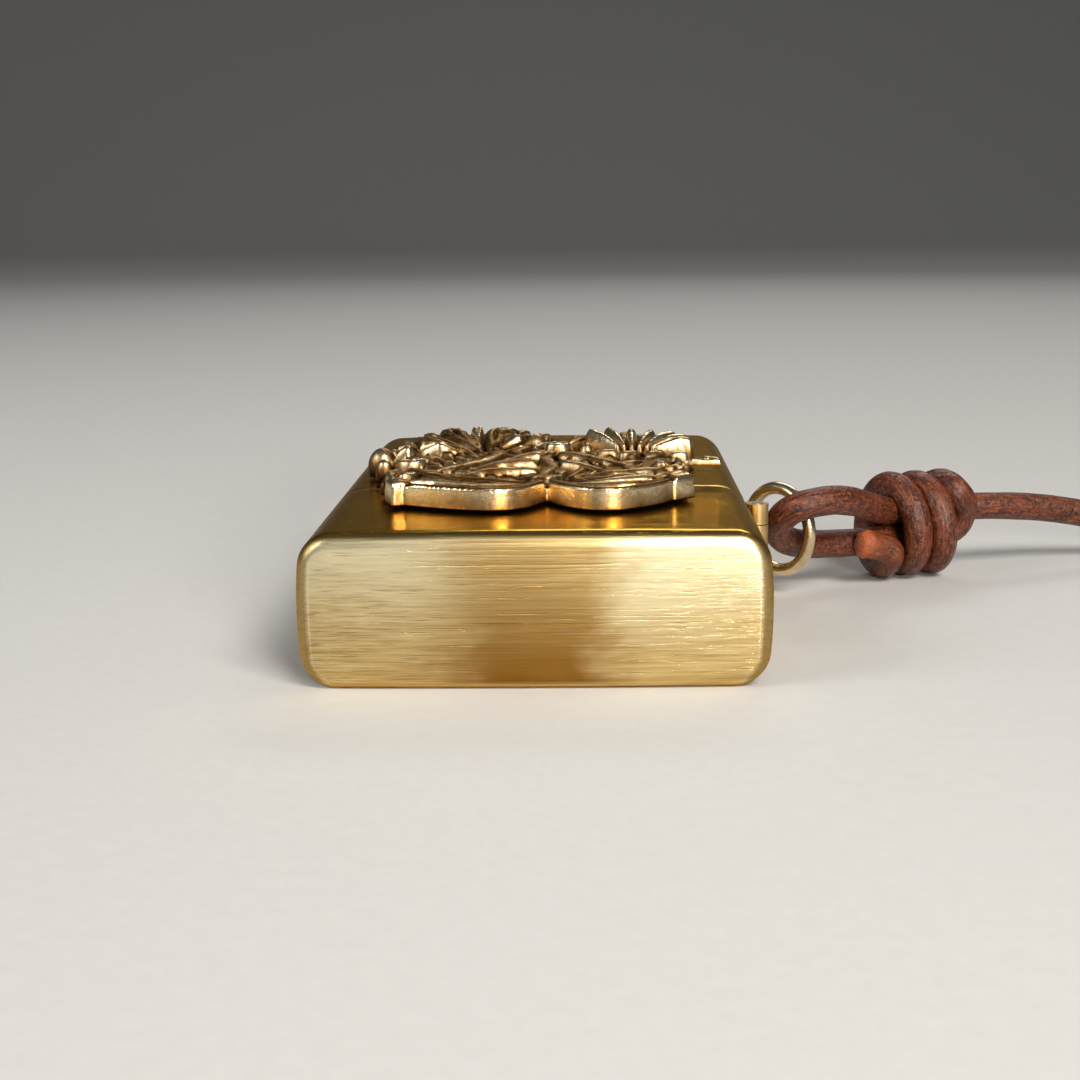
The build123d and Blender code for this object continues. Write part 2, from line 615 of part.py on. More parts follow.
# ---------------------------------------------------------------- leather thong
thong_noose = cord_tube(NOOSE_ROUTE, "thong_noose")
thong_tail = cord_tube(TAIL_ROUTE, "thong_tail")
thong_run = cord_tube(RUN_ROUTE, "thong_run")

with BuildPart() as thong_knot:
    wrap = KNOT_LENGTH / KNOT_WRAPS
    knot_axis = Vector(cos(radians(KNOT_BEARING)), sin(radians(KNOT_BEARING)), 0)
    with BuildSketch(Plane(origin=KNOT_CENTRE, x_dir=knot_axis, z_dir=(0, 0, 1))):
        with BuildLine():
            start = -KNOT_LENGTH / 2
            Line((start, 0), (start, KNOT_RADIUS - WRAP_RISE))
            for turn_number in range(KNOT_WRAPS):
                left = start + turn_number * wrap
                ThreePointArc((left, KNOT_RADIUS - WRAP_RISE), (left + wrap / 2, KNOT_RADIUS),
                              (left + wrap, KNOT_RADIUS - WRAP_RISE))
            Polyline((-start, KNOT_RADIUS - WRAP_RISE), (-start, 0), (start, 0))
        make_face()
    revolve(axis=Axis(KNOT_CENTRE, knot_axis))
thong_knot.part.label = "thong_knot"

with BuildPart() as thong_coil:
    with BuildSketch(layer(0)):
        with Locations(COIL_CENTRE):
            Circle(COIL_OUTER)
            Circle(COIL_INNER, mode=Mode.SUBTRACT)
    extrude(amount=2 * THONG)
thong_coil.part.label = "thong_coil"

with BuildPart() as thong_end_knot:
    with Locations(END_KNOT_CENTRE):
        Sphere(END_KNOT_RADIUS)
thong_end_knot.part.label = "thong_end_knot"

# ---------------------------------------------------------------- write the pieces
os.makedirs("parts", exist_ok=True)
for piece in (case_shell, lid_shell, case_hinge_leaf, lid_hinge_leaf, hinge_pin, lid_stop, insert_can, chimney,
              wick, wadding, felt_pad, flint_wheel, wheel_axle, flint_tube, flint, flint_spring, flint_screw,
              cam_lever, cam_pin, cam_spring, emblem, ring_eyelet, ring, thong_noose, thong_tail, thong_knot,
              thong_run, thong_coil, thong_end_knot):
    export_step(piece.part, f"parts/{piece.part.label}.step")
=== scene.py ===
"""Looks of a flip-top petrol lighter lying on its back: brushed brass shells, a cast antique crest,
a wire ring and a knotted leather thong."""

import json
import math

import bmesh
import bpy
import numpy as np
from mathutils import Matrix, Vector, noise


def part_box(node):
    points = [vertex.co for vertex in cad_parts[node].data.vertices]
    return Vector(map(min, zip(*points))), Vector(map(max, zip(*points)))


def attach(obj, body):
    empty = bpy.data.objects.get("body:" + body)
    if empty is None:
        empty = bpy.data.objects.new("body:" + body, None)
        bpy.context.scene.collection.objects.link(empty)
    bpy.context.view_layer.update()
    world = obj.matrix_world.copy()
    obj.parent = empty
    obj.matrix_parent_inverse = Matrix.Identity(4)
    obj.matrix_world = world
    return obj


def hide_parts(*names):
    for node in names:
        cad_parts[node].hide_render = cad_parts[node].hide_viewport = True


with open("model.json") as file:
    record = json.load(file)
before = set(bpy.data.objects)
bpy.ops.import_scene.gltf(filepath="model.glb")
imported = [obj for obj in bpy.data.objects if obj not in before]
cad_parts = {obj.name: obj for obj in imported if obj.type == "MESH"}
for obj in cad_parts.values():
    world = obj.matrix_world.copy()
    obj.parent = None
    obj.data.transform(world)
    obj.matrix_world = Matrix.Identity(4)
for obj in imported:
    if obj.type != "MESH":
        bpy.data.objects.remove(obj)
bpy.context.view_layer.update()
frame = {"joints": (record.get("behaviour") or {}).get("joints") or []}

MM = 0.001
UP = np.array([0, 0, 1.0])


def box_mm(node):
    """The low and high corners of a CAD node, in millimetres."""
    return tuple(np.array(corner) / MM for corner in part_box(node))


def new_object(name, data):
    """An object at the origin, linked to the scene."""
    made = bpy.data.objects.new(name, data)
    bpy.context.scene.collection.objects.link(made)
    return made


# ---------------------------------------------------------------- sizes taken from the frame
CASE_LOW, CASE_HIGH = box_mm("case_shell")
LID_LOW, LID_HIGH = box_mm("lid_shell")
HALF_WIDTH = CASE_HIGH[0]
THICKNESS = CASE_HIGH[2]
MID_Z = THICKNESS / 2
CASE_RIM_Y = CASE_LOW[1]
CASE_END_Y = CASE_HIGH[1]
LID_RIM_Y = LID_HIGH[1]
LID_END_Y = LID_LOW[1]
SEAM_Y = (CASE_RIM_Y + LID_RIM_Y) / 2
JOINTS = {joint["name"]: joint for joint in frame["joints"]}
HINGE = np.array(JOINTS["lid_hinge"]["pos_m"]) / MM
WHEEL = np.array(JOINTS["wheel_spin"]["pos_m"]) / MM
EYE = np.array(JOINTS["ring_swing"]["pos_m"]) / MM


# ---------------------------------------------------------------- camera and lights
CAMERA_PITCH, CAMERA_YAW, CAMERA_ROLL = 11.16, -1.71, -0.76
CAMERA_DISTANCE, CAMERA_HEIGHT, CAMERA_OFFSET = 134.5, 38.8, -0.27
SENSOR_WIDTH, LENS = 36.0, 58.466667


def set_camera():
    """Low close view on the lid's end, a little from above."""
    pitch, yaw, roll = (math.radians(a) for a in (CAMERA_PITCH, CAMERA_YAW, CAMERA_ROLL))
    turn = Matrix.Rotation(-yaw, 4, "Z")
    place = turn @ Vector((CAMERA_OFFSET, LID_END_Y - CAMERA_DISTANCE, 0))
    data = bpy.data.cameras.new("view")
    data.sensor_width = SENSOR_WIDTH
    data.lens = LENS
    data.clip_start = 0.005
    camera = new_object("view", data)
    tilt = Matrix.Rotation(math.radians(90) - pitch, 4, "X")
    spin = Matrix.Rotation(roll, 4, "Z")
    stand = Matrix.Translation((place.x * MM, place.y * MM, CAMERA_HEIGHT * MM))
    camera.matrix_world = stand @ turn @ tilt @ spin
    bpy.context.scene.camera = camera


def add_light(name, place, aim, size, power, colour, spread=120):
    """A rectangular lamp, in metres and watts, that lights only within its spread in degrees."""
    data = bpy.data.lights.new(name, "AREA")
    data.shape = "RECTANGLE"
    data.size, data.size_y = size
    data.energy = power
    data.color = colour
    data.spread = math.radians(spread)
    lamp = new_object(name, data)
    lamp.location = place
    lamp.rotation_euler = (Vector(aim) - Vector(place)).to_track_quat("-Z", "Y").to_euler()
    lamp.visible_camera = False


set_camera()
MIDDLE = (0, 0, 0.005)
add_light("key", (0.36, -0.62, 0.62), MIDDLE, (0.42, 0.30), 3.4, (1.0, 0.96, 0.90))
add_light("front", (0.12, -0.36, 0.088), (0, -0.02, 0.012), (0.085, 0.050), 0.10, (1.0, 0.96, 0.88), 60)
add_light("fill", (-0.62, -0.30, 0.42), MIDDLE, (0.40, 0.40), 1.15, (0.96, 0.98, 1.0))
add_light("rim", (0.14, 0.62, 0.50), MIDDLE, (0.40, 0.16), 0.5, (1.0, 0.98, 0.95))


# ---------------------------------------------------------------- finishes
class Signal:
    """A shader socket that arithmetic can be done on; each operator adds its Math node."""

    def __init__(self, finish, socket):
        self.finish = finish
        self.socket = socket

    def _math(self, operation, *terms):
        return self.finish.node("ShaderNodeMath", {"operation": operation}, dict(enumerate(terms)))

    def __add__(self, other):
        return self._math("ADD", self, other)

    def __radd__(self, other):
        return self._math("ADD", other, self)

    def __sub__(self, other):
        return self._math("SUBTRACT", self, other)

    def __rsub__(self, other):
        return self._math("SUBTRACT", other, self)

    def __mul__(self, other):
        return self._math("MULTIPLY", self, other)

    def __rmul__(self, other):
        return self._math("MULTIPLY", other, self)

    def __truediv__(self, other):
        return self._math("DIVIDE", self, other)

    def __rtruediv__(self, other):
        return self._math("DIVIDE", other, self)

    def least(self, other):
        return self._math("MINIMUM", self, other)

    def most(self, other):
        return self._math("MAXIMUM", self, other)

    def size(self):
        return self._math("ABSOLUTE", self)

    def limited(self):
        return self.least(1.0).most(0.0)


class Finish:
    """One procedural material: a Principled surface and the nodes that feed it."""

    def __init__(self, name, **surface):
        self.material = bpy.data.materials.new(name)
        self.material.use_nodes = True
        self.tree = self.material.node_tree
        self.surface = self.tree.nodes["Principled BSDF"]
        for socket, value in surface.items():
            self.surface.inputs[socket.replace("_", " ").title().replace("Ior", "IOR")].default_value = value

    def node(self, kind, settings=None, inputs=None, output=0):
        made = self.tree.nodes.new(kind)
        for key, value in (settings or {}).items():
            if key == "stops":
                self._set_stops(made.color_ramp, value)
            elif key == "curve":
                made.color_ramp.interpolation = value
            else:
                setattr(made, key, value)
        for key, value in (inputs or {}).items():
            if isinstance(value, Signal):
                self.tree.links.new(value.socket, made.inputs[key])
            else:
                made.inputs[key].default_value = value
        return Signal(self, made.outputs[output])

    @staticmethod
    def _set_stops(ramp, stops):
        while len(ramp.elements) < len(stops):
            ramp.elements.new(0.5)
        for element, (place, level) in zip(ramp.elements, stops):
            element.position = place
            element.color = (level, level, level, 1)

    def feed(self, **links):
        for socket, value in links.items():
            self.tree.links.new(value.socket, self.surface.inputs[socket.replace("_", " ").title()])
        return self.material

    def place(self, output="Object"):
        return self.node("ShaderNodeTexCoord", output=output)

    def stretched(self, scale, turn=(0, 0, 0), source=None):
        return self.node("ShaderNodeMapping", {}, {
            "Vector": source or self.place(), "Scale": scale, "Rotation": turn})

    def grain(self, vector, detail=4.0, roughness=0.55, warp=0.0):
        return self.node("ShaderNodeTexNoise", {}, {
            "Vector": vector, "Scale": 1.0, "Detail": detail, "Roughness": roughness, "Distortion": warp})

    def levels(self, value, *stops, curve="LINEAR"):
        return self.node("ShaderNodeValToRGB", {"stops": stops, "curve": curve}, {"Fac": value})

    def blend(self, factor, first, second):
        return self.node("ShaderNodeMix", {"data_type": "RGBA"}, {0: factor, 6: first, 7: second}, output=2)

    def bump(self, height, depth):
        return self.node("ShaderNodeBump", {}, {"Height": height, "Distance": depth, "Strength": 1.0})

    def attribute(self, name):
        return self.node("ShaderNodeAttribute", {"attribute_name": name}, output=2)

    def along(self, axis, output="Object"):
        """One coordinate, X, Y or Z, of the object's place or of its normal."""
        place = self.place(output)
        return self.node("ShaderNodeSeparateXYZ", {}, {"Vector": place}, output="XYZ".index(axis))

    def facing(self, axis):
        """How squarely the surface looks along X, Y or Z, from 0 to 1."""
        return self.along(axis, "Normal").size()

    def near(self, value, centre, reach):
        """1 where a value is at the centre, falling to 0 at the reach."""
        return (1 - (value - centre).size() / reach).limited()


def brushed_brass():
    """Yellow brass: long brush strokes, fine scratches, brown tarnish, edges rubbed bright at the seam.
    Strokes run across the front and the ends, and along the sides; lengths here are in metres."""
    finish = Finish("brushed_brass", metallic=1.0, specular_tint=(1.0, 0.76, 0.42, 1))
    x, y, z = (finish.along(axis) for axis in "XYZ")
    side = finish.facing("X")
    flat_face = finish.levels(finish.facing("Z"), (0.6, 0.0), (0.9, 1.0))
    end_face = finish.levels(finish.facing("Y"), (0.70, 0.0), (0.92, 1.0))
    across = finish.grain(finish.stretched((42, 5200, 5200), (0.0, 0.03, 0.02)), detail=4, roughness=0.72)
    along = finish.grain(finish.stretched((3000, 60, 3000)), detail=3, roughness=0.7)
    turned = finish.levels(side, (0.55, 0.0), (0.8, 1.0))
    strokes = across * (1 - turned) + along * turned
    fine = finish.grain(finish.stretched((60, 9000, 9000), (0.0, -0.05, 0.0)), detail=2, roughness=0.5)
    scratch = finish.levels(fine, (0.58, 0.0), (0.67, 1.0))
    cloud = finish.grain(finish.stretched((90, 120, 160)), detail=4, roughness=0.6)
    wander = 0.011 * (cloud - 0.5)
    eased = ((0.0, 0.0), (1.0, 1.0))
    left_fade = finish.levels((x + wander + 0.0125) / 0.011, *eased, curve="EASE")
    right_fade = finish.levels((0.0088 - x - wander) / 0.0042, *eased, curve="EASE")
    middle = left_fade * right_fade
    low = finish.levels(1.12 - (z + wander) / 0.0135, *eased, curve="EASE")
    patch = end_face * (middle * (0.30 + 0.70 * low) + 0.36 * low)
    # painted highlight mask: the end face away from its brown patch, fading out towards the bottom
    end_highlight = end_face * (1 - middle) * (1 - low * low)
    stain = finish.levels(cloud, (0.42, 0.0), (0.72, 0.5))
    # painted shade mask: faces and rounded edges turned sideways
    side_shade_band = finish.levels(side, (0.20, 0.0), (0.38, 1.0))
    # painted highlight mask: a thin line along the end face's side edges, fading out towards the bottom
    edge_highlight_line = finish.near(side, 0.13, 0.05) * end_face * (z / 0.006).limited()
    seam_line = finish.near(y, SEAM_Y * MM, 0.00026)
    pale, gold, brown = (0.88, 0.72, 0.38, 1), (0.56, 0.37, 0.115, 1), (0.27, 0.125, 0.018, 1)
    # near-white gold for the painted highlight on the end face; darker orange gold for the painted shade on
    # the broad flat faces; pale gold for the seam's real wear and for a thin painted highlight line; dark
    # brown for the painted shade on the faces turned sideways
    bright, front, wear_and_highlight, shade = ((0.97, 0.90, 0.62, 1), (0.62, 0.36, 0.065, 1), (0.98, 0.88, 0.58, 1),
                                  (0.26, 0.15, 0.035, 1))
    tone = finish.blend(finish.levels(strokes, (0.34, 0.0), (0.66, 1.0)), gold, pale)
    # painted highlight: the end face's upper and outer parts painted near-white
    tone = finish.blend(0.75 * end_highlight, tone, bright)
    tone = finish.blend((0.40 * stain + 0.62 * patch).limited(), tone, brown)
    # painted shade: the broad flat faces painted a darker orange gold, standing in for the dim surroundings
    # that they reflect
    tone = finish.blend(0.90 * flat_face, tone, front)
    tone = finish.blend(scratch * (0.34 + 0.45 * patch), tone, brown)
    # painted shade: the faces turned sideways painted dark brown
    tone = finish.blend(0.62 * side_shade_band, tone, shade)
    # real wear rubbed bright along the seam, and a painted highlight line along the end face's side edges
    tone = finish.blend((0.6 * edge_highlight_line + seam_line).limited(), tone, wear_and_highlight)
    roughness = 0.23 + 0.17 * strokes + 0.06 * stain - 0.12 * flat_face + 0.06 * side_shade_band
    normal = finish.bump(strokes - 0.5 * scratch, 0.000010)
    return finish.feed(base_color=tone, roughness=roughness, normal=normal)


def cast_antique():
    """Cast brass left dark brown in its hollows and rubbed bright on what stands out, with a painted
    highlight on the lobes' walls.
    """
    finish = Finish("cast_antique", metallic=1.0, specular_tint=(1.0, 0.88, 0.68, 1))
    pits = finish.grain(finish.stretched((2600, 2600, 2600)), detail=5, roughness=0.62)
    patches = finish.grain(finish.stretched((420, 420, 420)), detail=4, roughness=0.6)
    # the attribute holds the wear and a painted highlight on the lobes' walls
    height = (finish.attribute("rub") + 0.55 * (patches - 0.5) + 0.25 * (pits - 0.5)).limited()
    wear_and_highlight = finish.levels(height, (0.54, 0.0), (0.92, 1.0))
    dark, brown, gold = (0.014, 0.006, 0.003, 1), (0.25, 0.125, 0.038, 1), (0.92, 0.75, 0.46, 1)
    tone = finish.blend(finish.levels(height, (0.22, 0.0), (0.58, 1.0)), dark, brown)
    tone = finish.blend(wear_and_highlight, tone, gold)
    roughness = 0.40 - 0.24 * wear_and_highlight + 0.10 * patches
    normal = finish.bump(pits + 0.4 * patches, 0.00004)
    return finish.feed(base_color=tone, roughness=roughness, normal=normal)


def turned_metal(name, light, dark, rough, scale=(900, 900, 900), depth=0.00001):
    """Plain drawn or turned metal with fine grain and a little staining."""
    finish = Finish(name, metallic=1.0)
    lines = finish.grain(finish.stretched(scale), detail=4, roughness=0.6)
    cloud = finish.grain(finish.stretched((220, 220, 220)), detail=3)
    tone = finish.blend(finish.levels(cloud, (0.35, 0.0), (0.70, 1.0)), (*light, 1), (*dark, 1))
    tone = finish.blend(finish.levels(lines, (0.40, 0.0), (0.62, 0.35)), tone, (*dark, 1))
    return finish.feed(base_color=tone, roughness=rough + 0.14 * (lines - 0.5) + 0.08 * cloud,
                       normal=finish.bump(lines, depth))


def heat_stained_steel():
    """Brushed steel sheet, straw and blue towards the flame end."""
    finish = Finish("heat_stained_steel", metallic=1.0)
    lines = finish.grain(finish.stretched((3000, 90, 3000)), detail=4, roughness=0.6)
    height = finish.along("Y")
    patch = finish.grain(finish.stretched((160, 160, 160)), detail=3)
    heat = ((-0.016 - height) * 110 + 0.5 * (patch - 0.5)).limited()
    tone = finish.blend(lines, (0.55, 0.54, 0.52, 1), (0.72, 0.71, 0.69, 1))
    straw, blue = (0.52, 0.38, 0.20, 1), (0.16, 0.17, 0.26, 1)
    tone = finish.blend(heat * 0.75, tone, straw)
    tone = finish.blend(finish.levels(heat, (0.62, 0.0), (1.0, 0.6)), tone, blue)
    return finish.feed(base_color=tone, roughness=0.24 + 0.16 * lines + 0.1 * heat,
                       normal=finish.bump(lines, 0.000012))


def leather():
    """Dark brown round lace: long fibres, darker pores, paler rubbed crests, raw orange cut end."""
    finish = Finish("leather", specular_ior_level=0.5)
    along = finish.node("ShaderNodeUVMap", {"uv_map": "lace"})
    fibre = finish.grain(finish.stretched((9, 420, 1), source=along), detail=5, roughness=0.65, warp=0.2)
    coarse = finish.grain(finish.stretched((3, 110, 1), source=along), detail=4, roughness=0.6)
    fluff = finish.grain(finish.stretched((2600, 2600, 2600)), detail=4, roughness=0.7)
    seams = finish.grain(finish.stretched((14, 130, 1), source=along), detail=3)
    crack = finish.levels(seams, (0.36, 1.0), (0.46, 0.0))
    raw = finish.attribute("raw")
    dark, mid, pale = (0.022, 0.004, 0.002, 1), (0.150, 0.030, 0.008, 1), (0.42, 0.145, 0.050, 1)
    undyed = (0.44, 0.105, 0.025, 1)
    tone = finish.blend(finish.levels(coarse * 0.6 + fibre * 0.4, (0.36, 0.0), (0.60, 1.0)), dark, mid)
    tone = finish.blend(finish.levels(fibre * 0.5 + fluff * 0.5, (0.50, 0.0), (0.70, 0.75)), tone, pale)
    tone = finish.blend(crack * 0.55, tone, dark)
    tone = finish.blend((raw * (0.55 + 0.9 * fibre)).limited(), tone, undyed)
    normal = finish.bump(fibre * 0.7 + fluff * 0.5 - crack * 0.6, 0.00012)
    return finish.feed(base_color=tone, roughness=0.28 + 0.26 * coarse, normal=normal)


def fibre_cloth(name, light, dark, scale, depth, char=False):
    """Matted or twisted cotton and felt."""
    finish = Finish(name, roughness=0.95, sheen_weight=0.3, sheen_roughness=0.5)
    fuzz = finish.grain(finish.stretched((scale, scale, scale)), detail=5, roughness=0.7)
    lump = finish.grain(finish.stretched((500, 500, 500)), detail=3)
    matted = finish.levels(fuzz * 0.6 + lump * 0.4, (0.35, 0.0), (0.65, 1.0))
    tone = finish.blend(matted, (*dark, 1), (*light, 1))
    if char:
        burnt = ((-0.0150 - finish.along("Y")) * 300 + (lump - 0.5)).limited()
        tone = finish.blend(burnt, tone, (0.018, 0.016, 0.015, 1))
    return finish.feed(base_color=tone, normal=finish.bump(fuzz + lump, depth))


def pale_floor():
    """Pale matt floor."""
    finish = Finish("pale_floor", specular_ior_level=0.2)
    nap = finish.grain(finish.stretched((700, 700, 700)), detail=4)
    tone = finish.blend(nap, (0.60, 0.59, 0.57, 1), (0.66, 0.65, 0.63, 1))
    return finish.feed(base_color=tone, roughness=0.8 + 0.1 * nap)


BRASS = brushed_brass()
CAST = cast_antique()
HINGE_BRASS = turned_metal("hinge_brass", (0.80, 0.60, 0.28), (0.50, 0.32, 0.12), 0.30, (2500, 2500, 400))
RING_WIRE = turned_metal("ring_wire", (0.86, 0.72, 0.48), (0.55, 0.38, 0.20), 0.22, (1500, 1500, 1500))
TUBE_BRASS = turned_metal("tube_brass", (0.78, 0.58, 0.27), (0.50, 0.34, 0.13), 0.28, (2500, 200, 2500))
STEEL = heat_stained_steel()
PIN_STEEL = turned_metal("pin_steel", (0.66, 0.65, 0.63), (0.36, 0.35, 0.34), 0.26)
HARD_STEEL = turned_metal("hard_steel", (0.32, 0.31, 0.30), (0.10, 0.095, 0.09), 0.36,
                          (1800, 1800, 1800), 0.00003)
SPRING_STEEL = turned_metal("spring_steel", (0.58, 0.58, 0.58), (0.30, 0.30, 0.31), 0.24)
FLINT_ALLOY = turned_metal("flint_alloy", (0.20, 0.19, 0.19), (0.09, 0.085, 0.085), 0.55,
                           (3000, 3000, 3000), 0.00004)
LEATHER = leather()
WICK_COTTON = fibre_cloth("wick_cotton", (0.80, 0.74, 0.62), (0.42, 0.36, 0.27), 2500, 0.00006, char=True)
WADDING = fibre_cloth("wadding_cotton", (0.86, 0.85, 0.80), (0.62, 0.60, 0.55), 1500, 0.0001)
FELT = fibre_cloth("grey_felt", (0.50, 0.48, 0.44), (0.28, 0.27, 0.25), 2200, 0.00012)
FLOOR = pale_floor()


# ---------------------------------------------------------------- surroundings
def build_stage():
    """A pale floor that turns up far behind, soft light and dim plain surroundings."""
    half, front, foot, sweep, top = 3.0, -2.0, 1.1, 1.2, 2.2
    profile = [(front, 0.0), (0.0, 0.0), (foot, 0.0)]
    profile += [(foot + sweep * math.sin(turn), sweep - sweep * math.cos(turn))
                for turn in np.linspace(0, math.pi / 2, 25)[1:]]
    profile.append((foot + sweep, top))
    points = [(side * half, y, z) for y, z in profile for side in (-1, 1)]
    strips = [(2 * k, 2 * k + 1, 2 * k + 3, 2 * k + 2) for k in range(len(profile) - 1)]
    floor = mesh_object("floor", points, strips)
    floor.data.materials.append(FLOOR)
    world = bpy.data.worlds.new("studio")
    world.use_nodes = True
    surround = world.node_tree.nodes["Background"].inputs
    surround["Color"].default_value = (0.80, 0.82, 0.86, 1)
    surround["Strength"].default_value = 0.10
    bpy.context.scene.world = world
    bpy.context.scene.view_settings.view_transform = "Standard"


# ---------------------------------------------------------------- mesh helpers
def mesh_object(name, points, faces, scale=1.0):
    """A smooth-shaded object at the origin."""
    mesh = bpy.data.meshes.new(name)
    mesh.from_pydata((np.asarray(points, float) * scale).tolist(), [], faces)
    mesh.update()
    mesh.shade_smooth()
    return new_object(name, mesh)


def evaluated_mesh(source):
    """The plain mesh of an object or curve with its modifiers worked out; the source is removed."""
    graph = bpy.context.evaluated_depsgraph_get()
    mesh = bpy.data.meshes.new_from_object(source.evaluated_get(graph), depsgraph=graph)
    bpy.data.objects.remove(source)
    return mesh


def finish_piece(piece, finish, body, slot, *replaced):
    """Give a piece its finish and its body, and hide the CAD nodes that it stands for; slot is not used."""
    piece.data.materials.clear()
    piece.data.materials.append(finish)
    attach(piece, body)
    if replaced:
        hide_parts(*replaced)
    return piece


def spline_line(name, controls):
    """Points read from one open NURBS spline with these control points, in metres."""
    curve = bpy.data.curves.new(name, "CURVE")
    curve.dimensions = "3D"
    spline = curve.splines.new("NURBS")
    spline.points.add(len(controls) - 1)
    for point, place in zip(spline.points, controls):
        point.co = (*(float(x) for x in place), 1.0)
    spline.order_u = 3
    spline.use_endpoint_u = True
    spline.resolution_u = 16
    mesh = evaluated_mesh(new_object(name, curve))
    line = np.empty(len(mesh.vertices) * 3)
    mesh.vertices.foreach_get("co", line)
    bpy.data.meshes.remove(mesh)
    bpy.data.curves.remove(curve)
    return line.reshape(-1, 3)


def even_steps(line, step):
    """The same line with points an even distance apart."""
    along = np.concatenate([[0], np.cumsum(np.linalg.norm(np.diff(line, axis=0), axis=1))])
    marks = np.linspace(0, along[-1], max(int(along[-1] / step), 8) + 1)
    return np.stack([np.interp(marks, along, line[:, k]) for k in range(3)], axis=1), marks


END_BULGE = 0.25


def round_tube(name, line, radius_at, sides, closed=False):
    """A tube round a line, with frames carried along it without twist, and closed ends."""
    count = len(line)
    ahead = np.roll(line, -1, 0) - np.roll(line, 1, 0)
    if not closed:
        ahead[0], ahead[-1] = line[1] - line[0], line[-1] - line[-2]
    ahead /= np.linalg.norm(ahead, axis=1)[:, None]
    side = np.cross(ahead[0], (0.0, 0.0, 1.0))
    side /= np.linalg.norm(side)
    points = []
    for k in range(count):
        side = side - ahead[k] * side.dot(ahead[k])
        side /= np.linalg.norm(side)
        other = np.cross(ahead[k], side)
        for j in range(sides):
            angle = 2 * math.pi * j / sides
            spread = radius_at(k, angle)
            points.append(line[k] + spread * (math.cos(angle) * side + math.sin(angle) * other))
    faces = []
    for k in range(count if closed else count - 1):
        after = (k + 1) % count
        for j in range(sides):
            beside = (j + 1) % sides
            faces.append((k * sides + j, k * sides + beside, after * sides + beside, after * sides + j))
    if not closed:
        points += [line[0] - ahead[0] * radius_at(0, 0) * END_BULGE,
                   line[-1] + ahead[-1] * radius_at(count - 1, 0) * END_BULGE]
        first, last = count * sides, count * sides + 1
        for j in range(sides):
            beside = (j + 1) % sides
            faces.append((first, beside, j))
            faces.append((last, (count - 1) * sides + j, (count - 1) * sides + beside))
    return mesh_object(name, points, faces)


# ---------------------------------------------------------------- leather thong
THONG = 1.4
THONG_NODES = ("thong_noose", "thong_tail", "thong_knot", "thong_run", "thong_coil", "thong_end_knot")
THONG_SIDES = 22
KNOT_CENTRE = np.array([37.2, 14.0, 5.4])
KNOT_BEARING = math.radians(19.0)
WRAP_RADIUS = 3.95
STRAND_OFFSET = 1.35
END_KNOT_CENTRE = np.array([80.0, 2.2, 4.2])
END_KNOT_BEARING = math.radians(200)
END_WRAP_RADIUS = 2.75
COIL_CENTRE = np.array([80.0, 6.6])
COIL_RADIUS, COIL_TURNS, TURN_STEPS = 16.5, 2.35, 14
LAID = THONG + 0.001
TAIL_ROUTE = [(31.1, 8.1, 4.4), (32.8, 9.0, 4.1), (34.4, 9.5, 3.6)]
NOOSE_ROUTE = [(33.8, 11.9, 4.0), (30.4, 10.7, 4.0), (26.9, 9.0, 4.2), (23.6, 6.3, 5.0), (22.1, 2.9, 7.2),
               (23.4, -0.2, 9.6), (26.8, 0.5, 10.2), (29.5, 3.8, 9.5), (31.5, 7.5, 8.4), (33.8, 11.0, 7.2)]
RUN_ROUTE = [(41.2, 15.3, 6.7), (46.2, 17.0, 6.6), (52.6, 19.4, 5.9), (60.0, 21.5, 4.2), (68.0, 22.8, 2.2),
             (75.9, 23.1, LAID)]
# along, across and above each knot's axis: out of the wraps and back through them, and the end knot's cut end
KNOT_CORE = [(5.6, -0.9, 1.7), (5.4, 0.0, -0.9), (3.0, 0.0, -STRAND_OFFSET), (0.0, 0.0, -STRAND_OFFSET),
             (-2.4, 0.0, -STRAND_OFFSET)]
STANDING_STRAND = [(-1.6, 0.0, STRAND_OFFSET), (1.0, 0.0, STRAND_OFFSET)]
END_KNOT_CORE = [(-4.0, 0.0, 0.0), (0.0, 0.0, 0.0), (3.6, 0.0, 0.0)]
CUT_END = [(-3.4, -1.6, 0.6), (-5.2, -2.4, -0.6), (-7.4, -2.8, -1.8)]


def wound(centre, bearing, radius, start, turn, runs, per_turn=12):
    """Control points of turns round a level axis; start and turn are angles from straight up."""
    axis = np.array([math.cos(bearing), math.sin(bearing), 0.0])
    away = np.array([-math.sin(bearing), math.cos(bearing), 0.0])
    spread = radius / math.cos(math.pi / per_turn)
    points = []
    steps = round(abs(turn) / 360 * per_turn)
    for step in range(steps + 1):
        angle = math.radians(start + turn * step / steps)
        along = runs[0] + (runs[1] - runs[0]) * step / steps
        points.append(centre + axis * along + spread * (math.cos(angle) * UP - math.sin(angle) * away))
    return points


def beside(centre, bearing, steps):
    """Points by a knot, each given along its axis, across it and above it."""
    ahead, left = math.cos(bearing), math.sin(bearing)
    return [centre + np.array([ahead * along - left * across, left * along + ahead * across, rise])
            for along, across, rise in steps]


def coil_controls():
    """Control points of the flat coil, which climbs at its inner end towards the end knot."""
    steps = round(COIL_TURNS * TURN_STEPS)
    controls = []
    for step in range(1, steps + 1):
        turn = COIL_TURNS * step / steps
        radius = COIL_RADIUS - 2.9 * turn - 14.0 * max(turn - 1.75, 0) ** 2
        angle = math.radians(90 - 360 * turn)
        place = COIL_CENTRE + radius * np.array([math.cos(angle), math.sin(angle)])
        controls.append(np.array([*place, LAID + 2.8 * min(max((turn - 1.9) / 0.4, 0), 1)]))
    return controls


